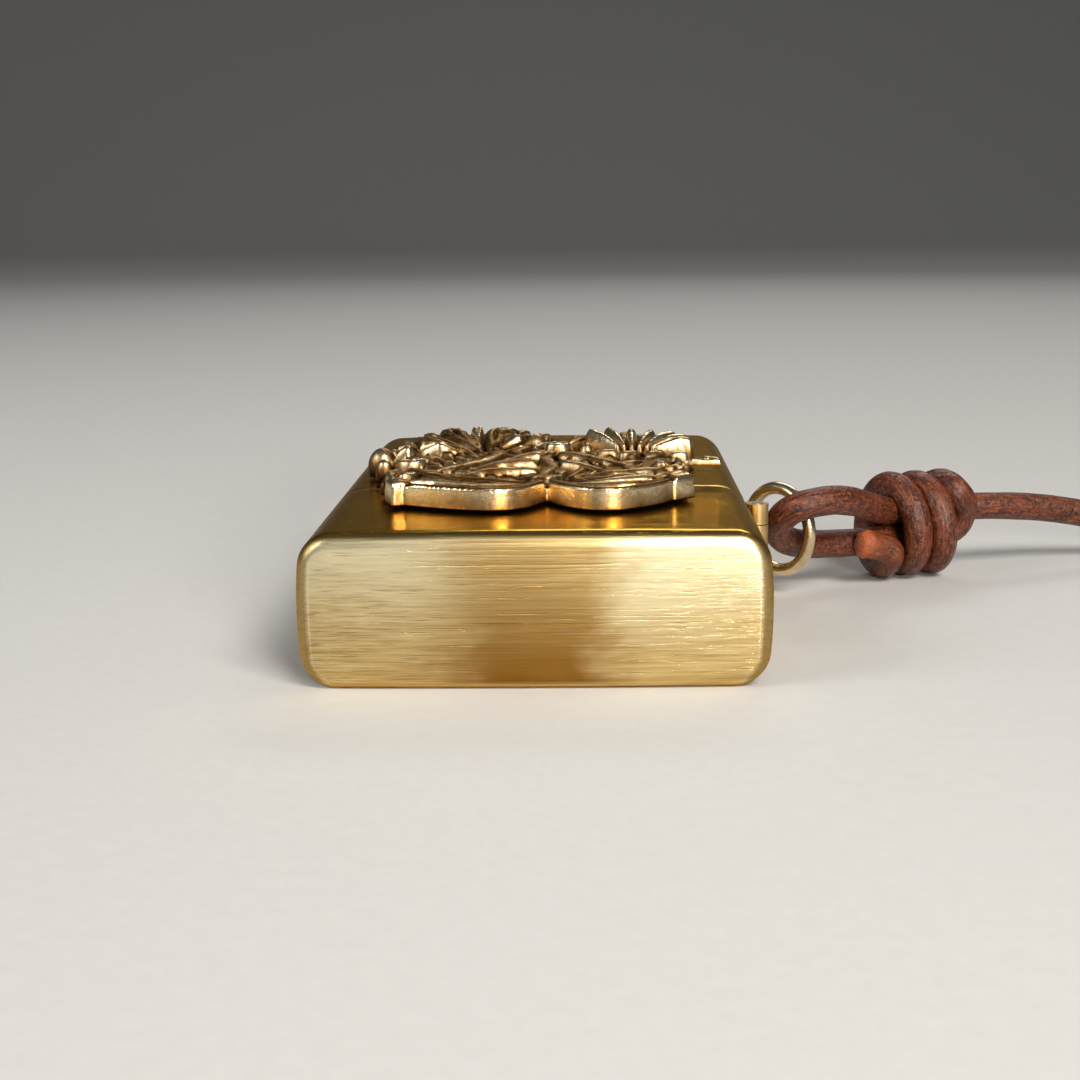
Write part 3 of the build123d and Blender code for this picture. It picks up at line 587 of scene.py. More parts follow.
def thong_controls():
    """The whole lace from the cut tail, through the knot and the ring, to the coil and its end knot."""
    controls = [np.array(point) for point in TAIL_ROUTE]
    controls += wound(KNOT_CENTRE, KNOT_BEARING, WRAP_RADIUS, 130, 990, (-3.9, 3.9))
    controls += beside(KNOT_CENTRE, KNOT_BEARING, KNOT_CORE)
    controls += [np.array(point) for point in NOOSE_ROUTE]
    controls += beside(KNOT_CENTRE, KNOT_BEARING, STANDING_STRAND)
    controls += [np.array(point) for point in RUN_ROUTE]
    controls += coil_controls()
    controls += beside(END_KNOT_CENTRE, END_KNOT_BEARING, END_KNOT_CORE)
    controls += wound(END_KNOT_CENTRE, END_KNOT_BEARING, END_WRAP_RADIUS, 60, 690, (3.0, -2.2), 10)
    controls += beside(END_KNOT_CENTRE, END_KNOT_BEARING, CUT_END)
    return np.array(controls) * MM


def lay_lace_map(mesh, along):
    """The lace's own map: distance along it and place round it, so that its fibres follow it."""
    corners = np.empty(len(mesh.loops), int)
    mesh.loops.foreach_get("vertex_index", corners)
    starts = np.empty(len(mesh.polygons), int)
    mesh.polygons.foreach_get("loop_start", starts)
    ring, around = corners // THONG_SIDES, (corners % THONG_SIDES) / THONG_SIDES
    for start, size in zip(starts, (len(p.vertices) for p in mesh.polygons)):
        span = slice(start, start + size)
        if size == 4 and around[span].max() - around[span].min() > 0.5:
            around[span] = np.where(around[span] < 0.5, around[span] + 1, around[span])
    coords = np.stack([np.interp(ring, np.arange(len(along)), along) * 100, around * 0.088], axis=1)
    mesh.uv_layers.new(name="lace").data.foreach_set("uv", coords.ravel())


def build_thong():
    """The lace as one uneven tube, frayed at both cut ends and flat where it lies on the table."""
    line, along = even_steps(spline_line("thong_line", thong_controls()), 0.00036)
    total = along[-1]
    raw = np.exp(-along / 0.0011) + np.exp(-(total - along) / 0.0007)

    def radius_at(k, angle):
        across, up = math.cos(angle), math.sin(angle)
        place = Vector((across * 0.9, up * 0.9, along[k] * 210))
        lumps = 0.045 * noise.noise(place) + 0.02 * noise.noise(place * 3.1)
        frayed = raw[k] * (0.02 + 0.42 * noise.noise(Vector((across * 3, up * 3, along[k] * 1400))))
        tip = min(1.0, 0.62 + min(along[k], total - along[k]) / 0.0012)
        return THONG * MM * (1.0 + lumps + frayed) * tip

    piece = round_tube("leather_thong", line, radius_at, THONG_SIDES)
    for vertex in piece.data.vertices:
        vertex.co.z = max(vertex.co.z, 0.0)
    lay_lace_map(piece.data, along)
    mark = piece.data.attributes.new("raw", "FLOAT", "POINT")
    mark.data.foreach_set("value", np.concatenate([np.repeat(raw, THONG_SIDES), [1.0, 1.0]]))
    finish_piece(piece, LEATHER, "ring", "leather_thong", *THONG_NODES)


# ---------------------------------------------------------------- brass shells
CORNER = 2.6
END_RADIUS = 1.2
WALL = 0.6
BOW = 0.5
CROWN = 0.2
LID_DOME = 0.5
CORNER_STEPS, BROAD_STEPS, NARROW_STEPS = 10, 36, 16
RIM_BREAK = ((0.0, 0.14), (0.04, 0.045), (0.14, 0.0))
OUTER_RINGS, INNER_RINGS = 30, 14
NOTCH_DEPTH, NOTCH_HALF, NOTCH_END = 0.95, 1.15, 0.2


def section(inset):
    """Points round one cross-section, x and height above the middle, pulled in by inset."""
    corner = max(CORNER - inset, 0.2)
    half, high = HALF_WIDTH - inset, MID_Z - inset
    points = []
    for quarter, (side, up) in enumerate(((1, 1), (-1, 1), (-1, -1), (1, -1))):
        for step in range(CORNER_STEPS + 1):
            angle = (quarter + step / CORNER_STEPS) * math.pi / 2
            points.append((side * (half - corner) + corner * math.cos(angle),
                           up * (high - corner) + corner * math.sin(angle)))
        steps = BROAD_STEPS if quarter % 2 == 0 else NARROW_STEPS
        after = ((-half + corner, high), (-half, -high + corner),
                 (half - corner, -high), (half, high - corner))[quarter]
        start = points[-1]
        points += [tuple(np.array(start) + (np.array(after) - start) * k / steps) for k in range(1, steps)]
    return np.array(points)


def bowed(flat):
    """The drawn shell's slight swell: sides fuller at mid height, front lower towards its long edges."""
    x, up = flat[:, 0], flat[:, 1]
    narrowed = x * (1 - BOW / HALF_WIDTH * (up / MID_Z) ** 2)
    lowered = up - CROWN * (x / HALF_WIDTH) ** 2 * np.clip(up / MID_Z, 0, 1)
    return np.stack([narrowed, lowered], axis=1)


def build_shell(name, rim, end, dome):
    """A closed can with a wall, open at the rim; end is its far y, and its end face swells by dome."""
    to_end = np.sign(end - rim)
    start, edge = rim + to_end * RIM_BREAK[-1][0], end - to_end * (END_RADIUS + dome)
    stations = [(rim + to_end * along, inset) for along, inset in RIM_BREAK]
    stations += [(start + (edge - start) * k / OUTER_RINGS, 0.0) for k in range(1, OUTER_RINGS + 1)]
    stations += [(edge + to_end * END_RADIUS * math.sin(a), END_RADIUS * (1 - math.cos(a)))
                 for a in np.linspace(0, math.pi / 2, 11)[1:]]
    outer = [(y, section(inset), 1.0) for y, inset in stations]
    last_y, last, _ = outer[-1]
    outer += [(last_y, last, k) for k in np.linspace(1, 0, 19)[1:-1]]
    inner_end, inner_round = end - to_end * (WALL + dome), END_RADIUS - WALL
    inside = [(inner_end, section(END_RADIUS), k) for k in np.linspace(0, 1, 9)[1:]]
    inside += [(inner_end - to_end * inner_round * (1 - math.cos(a)),
                section(WALL + inner_round * (1 - math.sin(a))), 1.0)
               for a in np.linspace(0, math.pi / 2, 6)[1:]]
    inside += [(y, section(WALL), 1.0)
               for y in np.linspace(inside[-1][0], rim + to_end * 0.1, INNER_RINGS)[1:]]
    inside.append((rim, section(WALL - 0.08), 1.0))
    count = len(last)
    points, faces = [], []

    def add_ring(y, flat, grow, swells):
        placed = bowed(flat * grow)
        lift = np.zeros(count)
        if swells:
            lift = dome * (1 - (placed[:, 0] / HALF_WIDTH) ** 2) * (1 - 0.35 * (placed[:, 1] / MID_Z) ** 2)
        points.extend((x, y + to_end * out, MID_Z + up) for (x, up), out in zip(placed, lift))
        return len(points) - count

    def stitch(rings):
        for low, high in zip(rings, rings[1:]):
            for j in range(count):
                after = (j + 1) % count
                faces.append((low + j, low + after, high + after, high + j))

    outer_rings = [add_ring(y, flat, grow, to_end * (y - edge) > 0) for y, flat, grow in outer]
    points += [(0.0, last_y + to_end * dome, MID_Z), (0.0, inner_end, MID_Z)]
    outer_pole, inner_pole = len(points) - 2, len(points) - 1
    inner_rings = [add_ring(y, flat, grow, False) for y, flat, grow in inside]
    stitch(outer_rings)
    for j in range(count):
        faces.append((outer_rings[-1] + j, outer_rings[-1] + (j + 1) % count, outer_pole))
        faces.append((inner_pole, inner_rings[0] + (j + 1) % count, inner_rings[0] + j))
    stitch(inner_rings + outer_rings[:1])
    shell = mesh_object(name, points, faces, MM)
    turn_outwards(shell.data)
    cut_notch(shell)
    return shell


def turn_outwards(mesh):
    """Merge points that coincide, then turn every face outwards."""
    work = bmesh.new()
    work.from_mesh(mesh)
    bmesh.ops.remove_doubles(work, verts=work.verts, dist=1e-7)
    bmesh.ops.recalc_face_normals(work, faces=work.faces)
    work.to_mesh(mesh)
    work.free()


def block(name, low, high):
    """A plain box, used only as a cutter."""
    points = [(x, y, z) for x in (low[0], high[0]) for y in (low[1], high[1]) for z in (low[2], high[2])]
    faces = [(0, 1, 3, 2), (4, 6, 7, 5), (0, 4, 5, 1), (2, 3, 7, 6), (0, 2, 6, 4), (1, 5, 7, 3)]
    cutter = mesh_object(name, points, faces, MM)
    turn_outwards(cutter.data)
    return cutter


def cut_notch(shell):
    """Open the side wall where the hinge's knuckles sit."""
    barrel_low, barrel_high = box_mm("hinge_pin")
    cutter = block("notch", (HALF_WIDTH - NOTCH_DEPTH, HINGE[1] - NOTCH_HALF, barrel_low[2] - NOTCH_END),
                   (HALF_WIDTH + 1, HINGE[1] + NOTCH_HALF, barrel_high[2] + NOTCH_END))
    cut = shell.modifiers.new("notch", "BOOLEAN")
    cut.operation, cut.solver, cut.object = "DIFFERENCE", "EXACT", cutter
    mesh = bpy.data.meshes.new_from_object(shell.evaluated_get(bpy.context.evaluated_depsgraph_get()))
    shell.modifiers.clear()
    shell.data = mesh
    bpy.data.objects.remove(cutter)
    mesh.shade_smooth()
    mesh.set_sharp_from_angle(angle=math.radians(50))


def build_shells():
    """The case, and the lid with its domed end."""
    case = build_shell("brass_case", CASE_RIM_Y, CASE_END_Y, 0.0)
    finish_piece(case, BRASS, "case", "brass_shell", "case_shell")
    lid = build_shell("brass_lid", LID_RIM_Y, LID_END_Y, LID_DOME)
    finish_piece(lid, BRASS, "lid", "brass_shell", "lid_shell")


# ---------------------------------------------------------------- cast crest
CREST_LOW, CREST_HIGH = box_mm("emblem")
CREST_STEP = 0.187
RECESS, LOBE_TOP = THICKNESS + 0.95, THICKNESS + 2.22
LOW_TOP, OVERHANG_GAP = RECESS - 0.35, 0.2
CUSP = (0.9, -15.3)
LEFT_LOBE = [(-12.0, -17.3), (-10.2, -18.3), (-7.6, -19.6), (-4.8, -20.6), (-2.5, -20.6), (-0.8, -19.3),
             (0.9, -16.4)]
RIGHT_LOBE = [(0.9, -16.4), (2.3, -18.7), (4.2, -20.5), (6.3, -20.9), (8.3, -20.0), (10.3, -18.1),
              (12.0, -15.6)]
BACK_EDGE = [(12.9, -13.4), (13.7, -9.6), (14.3, -5.0), (14.3, 1.0), (14.0, 6.6), (12.4, 11.6), (9.2, 15.6),
             (6.0, 14.4), (3.0, 11.8), (0.6, 13.6), (-3.6, 16.9), (-8.0, 17.6), (-12.0, 15.2), (-13.8, 9.6),
             (-14.6, 3.0), (-14.4, -3.0), (-13.5, -9.0), (-12.7, -14.4)]
# far ends of the tapered locks that fan out from the cusp, and the side each fan is on
FANNED_LOCKS = [
    ([(-11.6, -15.0), (-12.7, -12.5), (-12.9, -9.9), (-12.6, -7.2), (-11.4, -4.4), (-9.2, -2.0), (-6.4, 0.0),
      (-3.4, 1.4)], -1),
    ([(11.3, -13.6), (12.3, -11.4), (10.6, -8.8), (9.4, -5.8), (7.4, -3.0), (4.6, -0.8), (1.6, 0.8)], 1),
]
# heavier locks across the fans: line, half widths along it, tops along it above the recess, groove depth
CROSSING_LOCKS = [
    ([(-7.8, -12.9), (-4.6, -10.4), (-1.2, -9.2), (2.0, -9.4)],
     (0.2, 0.70, 0.75, 0.2), (0.9, 1.35, 1.3, 0.8), 0.0),
    ([(-6.6, -8.8), (-3.4, -6.2), (0.2, -5.6), (3.6, -7.0), (6.6, -9.8)],
     (0.2, 0.8, 0.9, 0.7, 0.15), (1.0, 1.5, 1.6, 1.4, 0.9), 0.16),
    ([(-3.6, -3.4), (-0.6, -1.6), (3.0, -2.4), (6.0, -5.2), (9.2, -7.2)],
     (0.2, 0.85, 0.9, 0.7, 0.2), (1.1, 1.6, 1.65, 1.4, 0.9), 0.14),
    ([(-10.4, -10.6), (-8.0, -8.2), (-5.2, -5.0), (-4.0, -1.4), (-5.0, 1.6)],
     (0.2, 0.7, 0.85, 0.8, 0.3), (0.9, 1.3, 1.5, 1.55, 1.2), 0.12),
    ([(3.4, -11.6), (6.4, -11.2), (9.4, -10.4), (11.4, -8.6)],
     (0.2, 0.55, 0.6, 0.35), (0.8, 1.2, 1.3, 1.1), 0.0),
    ([(0.9, -14.6), (0.4, -11.6), (1.2, -8.2), (0.4, -4.4), (1.4, 0.2)],
     (0.35, 0.8, 0.75, 0.8, 0.3), (1.0, 1.3, 1.35, 1.5, 1.2), 0.15),
]
# scrolls: centre, radius, first angle, turn and top; the last one curls up from the bar's end
VOLUTES = [((-12.0, -11.6), 1.7, 200, -420, 1.35), ((-11.6, -4.4), 1.8, 60, 420, 1.5),
           ((11.2, -7.2), 1.6, 190, 430, 1.45), ((1.2, 3.4), 2.2, 250, -450, 1.7),
           ((15.35, -5.15), 0.95, 268, 360, 1.5)]
VOLUTE_SHRINK = 0.72
LEAF_TIPS = [(-13.9, 4.2), (-13.6, 8.6), (-12.2, 13.0), (-9.0, 16.4), (-5.2, 16.6), (-1.6, 14.4), (0.6, 11.2)]
# place, direction and half length of each leaflet between the leaves
LEAFLETS = [(-10.8, 6.4, 150, 1.9), (-9.8, 10.4, 115, 1.9), (-6.8, 12.6, 95, 1.9), (-3.6, 11.2, 65, 1.8),
            (-9.6, 1.4, 170, 2.0), (-2.6, 6.8, 40, 1.8), (-12.6, -0.6, 200, 1.2)]
FINGERS, FINGER_ROOT, FINGER_START, FIRST_FINGER, FINGER_PITCH = 7, (8.6, 3.0), 2.4, 126, 18
FAN_REACH, FAN_FOOT = 8.0, 3.2
KNOBS = [(5.6, 0.8), (7.6, -0.4), (10.0, -0.8), (12.2, -1.0)]
# the bar towards the hinge side, its band, and the stalks that frame the crest
BAR_AND_STALKS = [
    ([(10.9, -5.6), (13.4, -6.2), (16.2, -6.3)], (0.34, 0.27, 0.27), (1.45, 1.5, 1.5), 0.0),
    ([(12.4, -5.2), (12.5, -7.0)], (0.35, 0.35), (1.5, 1.5), 0.0),
    ([(2.4, 6.6), (3.4, 9.4), (3.0, 12.4)], (0.4, 0.9, 0.3), (1.2, 1.6, 1.2), 0.2),
    ([(-12.4, -14.8), (-13.0, -11.4), (-12.7, -8.4)], (0.45, 0.5, 0.4), (1.3, 1.35, 1.1), 0.0),
]
BAR_FREE_X, BAR_FREE_Y, BAR_UNDERSIDE = 13.3, (-7.6, -2.3), THICKNESS + 1.72
# centre, turn and half sizes of the collars; centre, radius and top of the beads
COLLARS = [((-11.7, -16.75), 22, (0.95, 1.15)), ((12.1, -14.95), -48, (0.8, 1.2))]
BEADS = [(-14.95, -0.1, 1.4, 1.75), (-14.3, -4.3, 0.85, 1.35), (-14.2, 2.4, 0.7, 1.3), (4.2, 2.6, 0.8, 1.7),
         (-0.4, 8.6, 0.75, 1.7)]
LOBE_WIDTH, LOBE_ENDS, SPLIT_DEPTH = 2.15, (-11.8, 12.2), 0.8
FILL_SEED = 11
CREST_ROUND, WALL_TILT, LOBES_END_Y = 0.14, 0.45, -12.8


def smooth_line(points, steps=10):
    """Points along a Catmull-Rom curve through the given points."""
    given = np.array(points, float)
    given = np.vstack([2 * given[0] - given[1], given, 2 * given[-1] - given[-2]])
    t = np.linspace(0, 1, steps, endpoint=False)[:, None]
    made = []
    for a, b, c, d in zip(given, given[1:], given[2:], given[3:]):
        square, cube = 2 * a - 5 * b + 4 * c - d, 3 * b - a - 3 * c + d
        made.append(0.5 * (2 * b + (c - a) * t + square * t ** 2 + cube * t ** 3))
    return np.vstack(made + [given[-2:-1]])


def reach(line, x, y):
    """Distance from every grid point to a line, and how far along the line its nearest point is, 0 to 1."""
    best = np.full(x.shape, 1e9)
    along = np.zeros(x.shape)
    count = len(line) - 1
    for k in range(count):
        start, run = line[k], line[k + 1] - line[k]
        t = np.clip(((x - start[0]) * run[0] + (y - start[1]) * run[1]) / max(run.dot(run), 1e-12), 0, 1)
        distance = np.hypot(x - start[0] - t * run[0], y - start[1] - t * run[1])
        nearer = distance < best
        best = np.where(nearer, distance, best)
        along = np.where(nearer, (k + t) / count, along)
    return best, along


def within(line, x, y):
    """True where a grid point is inside the closed line."""
    inside = np.zeros(x.shape, bool)
    for (x0, y0), (x1, y1) in zip(line, np.roll(line, -1, 0)):
        crosses = (y0 > y) != (y1 > y)
        inside ^= crosses & (x < (x1 - x0) * (y - y0) / (y1 - y0 + 1e-12) + x0)
    return inside


def direction(degrees):
    return np.array([math.cos(math.radians(degrees)), math.sin(math.radians(degrees))])


def sideways(start, end):
    """The line from start to end, turned a quarter to the left."""
    return np.array([-(end - start)[1], (end - start)[0]])


def locks():
    """Every carved stroke: line, half widths and tops along it, and a groove's depth."""
    carved = []
    for ends, side in FANNED_LOCKS:
        for k, end in enumerate(ends):
            end = np.array(end)
            start = np.array(CUSP) + np.array([side * (0.1 + 0.22 * k), 0.35 + 0.42 * k])
            lift = sideways(start, end) * side * (-0.16 + 0.05 * ((k * 5) % 3))
            line = [start, start * 0.66 + end * 0.34 + lift * 0.8, start * 0.3 + end * 0.7 + lift, end]
            tops = (0.65, 0.95 + 0.07 * (k % 3), 1.05 + 0.05 * k, 0.75)
            carved.append((line, (0.25, 0.72, 0.62, 0.16), tops, 0.0))
    carved += CROSSING_LOCKS
    for centre, size, start, turn, top in VOLUTES:
        line = []
        for s in np.linspace(0, 1, 12):
            angle, radius = math.radians(start + turn * s), size * (1 - VOLUTE_SHRINK * s)
            line.append((centre[0] + radius * math.cos(angle), centre[1] + radius * math.sin(angle)))
        carved.append((line, (0.22, 0.42, 0.40, 0.34), (top - 0.5, top - 0.15, top, top), 0.0))
    for k, end in enumerate(LEAF_TIPS):
        start, end = np.array([-6.6 + 0.35 * k, 2.6 + 0.45 * k]), np.array(end)
        bend = sideways(start, end) * (0.14 if k % 2 else -0.12)
        tops = (1.0, 2.12 + 0.14 * (k % 2), 1.75)
        carved.append(([start, (start + end) / 2 + bend, end], (0.5, 1.62, 0.25), tops, 0.42))
    for x, y, turn, size in LEAFLETS:
        step, here = direction(turn) * size, np.array([x, y])
        carved.append(([here - step, here, here + step], (0.3, 0.78, 0.15), (1.4, 2.26, 1.6), 0.26))
    for k in range(FINGERS):
        step = direction(FIRST_FINGER - FINGER_PITCH * k)
        root = np.array(FINGER_ROOT) + step * FINGER_START
        length = 4.5 - 0.16 * k + 0.4 * math.sin(k * 1.9)
        carved.append(([root, root + step * 2.2, root + step * length], (0.34, 0.56, 0.66),
                       (1.35, 2.0, 2.3 - 0.07 * k), 0.0))
    carved += [([root, (root[0] + 1.1, root[1] + 0.2)], (0.5, 0.5), (1.3, 1.3), 0.0) for root in KNOBS]
    return carved + BAR_AND_STALKS


def carve(x, y, height, room):
    """Raise every lock out of the ground, each with a dark line cut beside it."""
    for line, widths, tops, groove in locks():
        distance, along = reach(smooth_line(line), x, y)
        marks = np.linspace(0, 1, len(widths))
        width, top = np.interp(along, marks, widths), np.interp(along, marks, tops)
        outside = np.clip((distance - width) / 0.30, 0, None)
        cut = np.where(height > RECESS, 0.42, 0.0) * np.exp(-outside ** 2)
        height = height - cut * (distance > width * 0.8)
        height = np.maximum(height, RECESS - 0.1)
        crown = np.sqrt(np.clip(1 - (distance / np.maximum(width, 0.05)) ** 2, 0, 1))
        crown = crown - groove * np.exp(-(distance / 0.17) ** 2)
        height = np.maximum(height, RECESS + (top * (0.35 + 0.65 * crown)) * (distance < width))
        room = np.maximum(room, width - distance)
    return height, room


def fill_ground(x, y, height, edge, from_front):
    """Small leaves over whatever ground is still bare, pointing away from the cusp."""
    choose = np.random.default_rng(FILL_SEED)
    for row, ground_y in enumerate(np.arange(-13.0, 17.5, 1.25)):
        for ground_x in np.arange(-14.5 + 0.8 * (row % 2), 14.5, 1.6):
            here = np.array([ground_x, ground_y]) + choose.uniform(-0.35, 0.35, 2)
            turn = math.atan2(here[1] + 19.0, here[0] - CUSP[0]) + choose.uniform(-0.5, 0.5)
            size, top = choose.uniform(1.2, 1.7), choose.uniform(0.75, 1.25)
            i, j = (int(round((here[k] - (x[0, 0], y[0, 0])[k]) / CREST_STEP)) for k in range(2))
            from_fan = math.hypot(here[0] - FINGER_ROOT[0], here[1] - FINGER_ROOT[1])
            if from_fan < FAN_REACH and here[1] > FAN_FOOT:
                continue
            if edge[i, j] < 0.9 or height[i, j] > RECESS + 0.25 or from_front[i, j] < 2.6:
                continue
            step = np.array([math.cos(turn), math.sin(turn)]) * size
            path = smooth_line([here - step, here + np.array([-step[1], step[0]]) * 0.15, here + step], 5)
            distance, along = reach(path, x, y)
            width = np.interp(along, (0, 0.4, 1), (0.3, 0.72, 0.12))
            crown = np.sqrt(np.clip(1 - (distance / width) ** 2, 0, 1))
            crown = crown - 0.22 * np.exp(-(distance / 0.15) ** 2)
            height = np.maximum(height, RECESS + top * (0.3 + 0.7 * crown) * (distance < width))
    return height


def crest_relief(x, y):
    """Height of the cast face over the grid, and the signed distance to its outline."""
    front = np.vstack([smooth_line(LEFT_LOBE)[:-1], smooth_line(RIGHT_LOBE)])
    outline = np.vstack([front, smooth_line([front[-1]] + BACK_EDGE + [front[0]], 6)[1:-1]])
    edge, _ = reach(np.vstack([outline, outline[:1]]), x, y)
    edge = np.where(within(outline, x, y), edge, -edge) - 0.02
    from_front, _ = reach(front, x, y)
    height, room = carve(x, y, np.full(x.shape, RECESS), edge - 0.55 * (from_front > 3.0))
    height = fill_ground(x, y, height, edge, from_front)
    # the two plain lobes: a rim at the front edge, a shallow hollow behind it and a split at the cusp
    from_cusp = x - CUSP[0]
    band = LOBE_WIDTH - 0.5 * np.exp(-(from_cusp / 1.5) ** 2)
    hollow, rim = np.clip((from_front - 0.5) / 1.2, 0, 1), np.exp(-((from_front - 0.32) / 0.22) ** 2)
    lobe = LOBE_TOP - 0.10 - 0.22 * hollow + 0.10 * rim
    in_lobe = (from_front < band) & ((x > LOBE_ENDS[0]) & (x < LOBE_ENDS[1]))
    height = np.where(in_lobe, np.maximum(lobe, np.minimum(height, lobe + 0.05)), height)
    height = height - SPLIT_DEPTH * (np.exp(-(from_cusp / 0.16) ** 2) * (y < -14.4))
    # bevelled collars with band lines at the outer ends of the lobes
    for centre, turn, half in COLLARS:
        c, s = direction(turn)
        u = (x - centre[0]) * c + (y - centre[1]) * s
        v = -(x - centre[0]) * s + (y - centre[1]) * c
        inset = np.minimum(half[0] - np.abs(u), half[1] - np.abs(v))
        lines = 0.16 * (np.exp(-((np.abs(u) - 0.52) / 0.10) ** 2))
        collar = LOBE_TOP + 0.22 * np.clip(inset / 0.3, 0, 1) - lines
        height = np.where(inset > 0, collar, height - 0.35 * np.exp(-(inset / 0.2) ** 2))
        room = np.maximum(room, inset)
    for bead_x, bead_y, size, top in BEADS:
        distance = np.hypot(x - bead_x, y - bead_y)
        ball = RECESS + top * np.sqrt(np.clip(1 - (distance / size) ** 2, 0, 1))
        height = np.where(distance < size, ball, height)
        moat = 0.3 * np.exp(-((distance - size) / 0.25) ** 2) * (height > RECESS)
        height = np.where(distance >= size, height - moat, height)
        room = np.maximum(room, size - distance)
    grain = np.sin(x * 7.3 + 2.1 * np.sin(y * 4.7)) * np.sin(y * 6.9 + 1.7 * np.sin(x * 5.1))
    height = height + 0.025 * grain * (~in_lobe)
    return np.clip(height, LOW_TOP, CREST_HIGH[2] - 0.02), np.minimum(room, edge + 2.3)


def softened(grid, steps):
    """A grid blurred by repeated averaging with its neighbours."""
    for _ in range(steps):
        padded = np.pad(grid, 1, mode="edge")
        grid = (padded[1:-1, 1:-1] * 4 + padded[:-2, 1:-1] + padded[2:, 1:-1]
                + padded[1:-1, :-2] + padded[1:-1, 2:]) / 8
    return grid


def surface_of(field, low, step):
    """Closed quad mesh round the positive part of a 3-D field: one point in each cell that it crosses."""
    solid = field > 0
    cells = tuple(size - 1 for size in field.shape)
    total = np.zeros((*cells, 3))
    hits = np.zeros(cells)
    corners = [(a, b, c) for a in (0, 1) for b in (0, 1) for c in (0, 1)]

    def part(grid, corner):
        return grid[tuple(slice(o, o + n) for o, n in zip(corner, cells))]

    for start in corners:
        for axis in range(3):
            if start[axis]:
                continue
            end = tuple(o + (k == axis) for k, o in enumerate(start))
            f0, f1 = part(field, start), part(field, end)
            crossed = part(solid, start) != part(solid, end)
            t = np.where(crossed, f0 / np.where(crossed, f0 - f1, 1), 0)
            for k in range(3):
                total[..., k] += np.where(crossed, start[k] + (t if k == axis else 0), 0)
            hits += crossed
    used = hits > 0
    index = np.full(cells, -1)
    index[used] = np.arange(used.sum())
    where = np.argwhere(used)
    points = np.array(low) + step * (where + total[used] / hits[used][:, None])
    faces = []
    for axis in range(3):
        one, two = (axis + 1) % 3, (axis + 2) % 3
        here = [slice(1, n) for n in cells]
        here[axis] = slice(0, cells[axis])
        ahead = list(here)
        ahead[axis] = slice(1, cells[axis] + 1)
        first, second = solid[tuple(here)], solid[tuple(ahead)]
        spots = np.argwhere(first != second) + np.array([0 if k == axis else 1 for k in range(3)])
        outward = first[first != second]

        def at(back_one, back_two):
            shift = np.zeros(3, int)
            shift[one], shift[two] = -back_one, -back_two
            return index[tuple((spots + shift).T)]

        ring = np.stack([at(1, 1), at(0, 1), at(0, 0), at(1, 0)], axis=1)
        faces.append(np.where(outward[:, None], ring, ring[:, ::-1]))
    return points, np.vstack(faces)


def crest_field():
    """The crest as a field over a 3-D grid, positive in the metal; also its heights and the grid's corner."""
    low = np.array([CREST_LOW[0] - 0.3, CREST_LOW[1] - 0.3, CREST_LOW[2] - 0.25])
    counts = np.ceil((CREST_HIGH + 0.3 - low) / CREST_STEP).astype(int) + 1
    axes = [low[k] + CREST_STEP * np.arange(counts[k]) for k in range(3)]
    x, y = np.meshgrid(axes[0], axes[1], indexing="ij")
    height, room = crest_relief(x, y)
    height = softened(height, 1)
    steep = np.sqrt(1 + sum(g ** 2 for g in np.gradient(height, CREST_STEP)))
    z = axes[2][None, None, :]
    above = (height[..., None] - z) / steep[..., None]
    side = np.broadcast_to(room[..., None], above.shape)
    mix = np.clip(0.5 + 0.5 * (side - above) / CREST_ROUND, 0, 1)
    rounded = side * (1 - mix) + above * mix - CREST_ROUND * mix * (1 - mix)
    # the crest overhangs the lid, and its bar stands free of the front
    under = np.where(y < CASE_RIM_Y + 0.45, THICKNESS + OVERHANG_GAP, THICKNESS + 0.005)
    free = (x > BAR_FREE_X) & (y < BAR_FREE_Y[1]) & (y > BAR_FREE_Y[0])
    under = np.where(free, BAR_UNDERSIDE, under)[..., None]
    return np.minimum(rounded, z - under), height, low


def wear_and_painted_light(mesh, height, low):
    """How bright each point is painted: rubbed bright where it stands proud and dark in its hollows, a little
    darker towards the back; walls darker towards their foot, with the lobes' walls kept bright as painted
    highlight.
    """
    place, facing = np.empty(len(mesh.vertices) * 3), np.empty(len(mesh.vertices) * 3)
    mesh.vertices.foreach_get("co", place)
    mesh.vertices.foreach_get("normal", facing)
    place = place.reshape(-1, 3) / MM
    i, j = (np.clip(((place[:, k] - low[k]) / CREST_STEP).round().astype(int), 0, height.shape[k] - 1)
            for k in range(2))
    wall = np.abs(facing.reshape(-1, 3)[:, 2]) < WALL_TILT
    rub = np.clip(0.42 + 1.0 * (place[:, 2] - softened(height, 26)[i, j]), 0, 1) - 0.05 * (place[:, 1] > 1.0)
    up = place[:, 2] - THICKNESS - 1.1
    # painted highlight: the lobes' walls kept bright; the other walls darker, every wall darker towards its
    # foot
    on_wall = np.where(place[:, 1] < LOBES_END_Y, 0.76 + 0.20 * up, 0.42 + 0.30 * up)
    return np.where(wall, np.clip(on_wall, 0, 1), rub)


def build_crest():
    """The cast crest: one closed skin round its field, with its wear and painted highlight on an attribute.
    """
    field, height, low = crest_field()
    points, faces = surface_of(field, low, CREST_STEP)
    piece = mesh_object("cast_crest", points, faces.tolist(), MM)
    turn_outwards(piece.data)
    piece.data.shade_smooth()
    mark = piece.data.attributes.new("rub", "FLOAT", "POINT")
    mark.data.foreach_set("value", wear_and_painted_light(piece.data, height, low))
    finish_piece(piece, CAST, "case", "antique_brass", "emblem")


# ---------------------------------------------------------------- ring, wheel, wick and soft fillings
WIRE, RING_GAP, RING_JOINT = 0.62, 1.2, 128
WHEEL_BORE, TOOTH_DEPTH = 1.08, 0.34


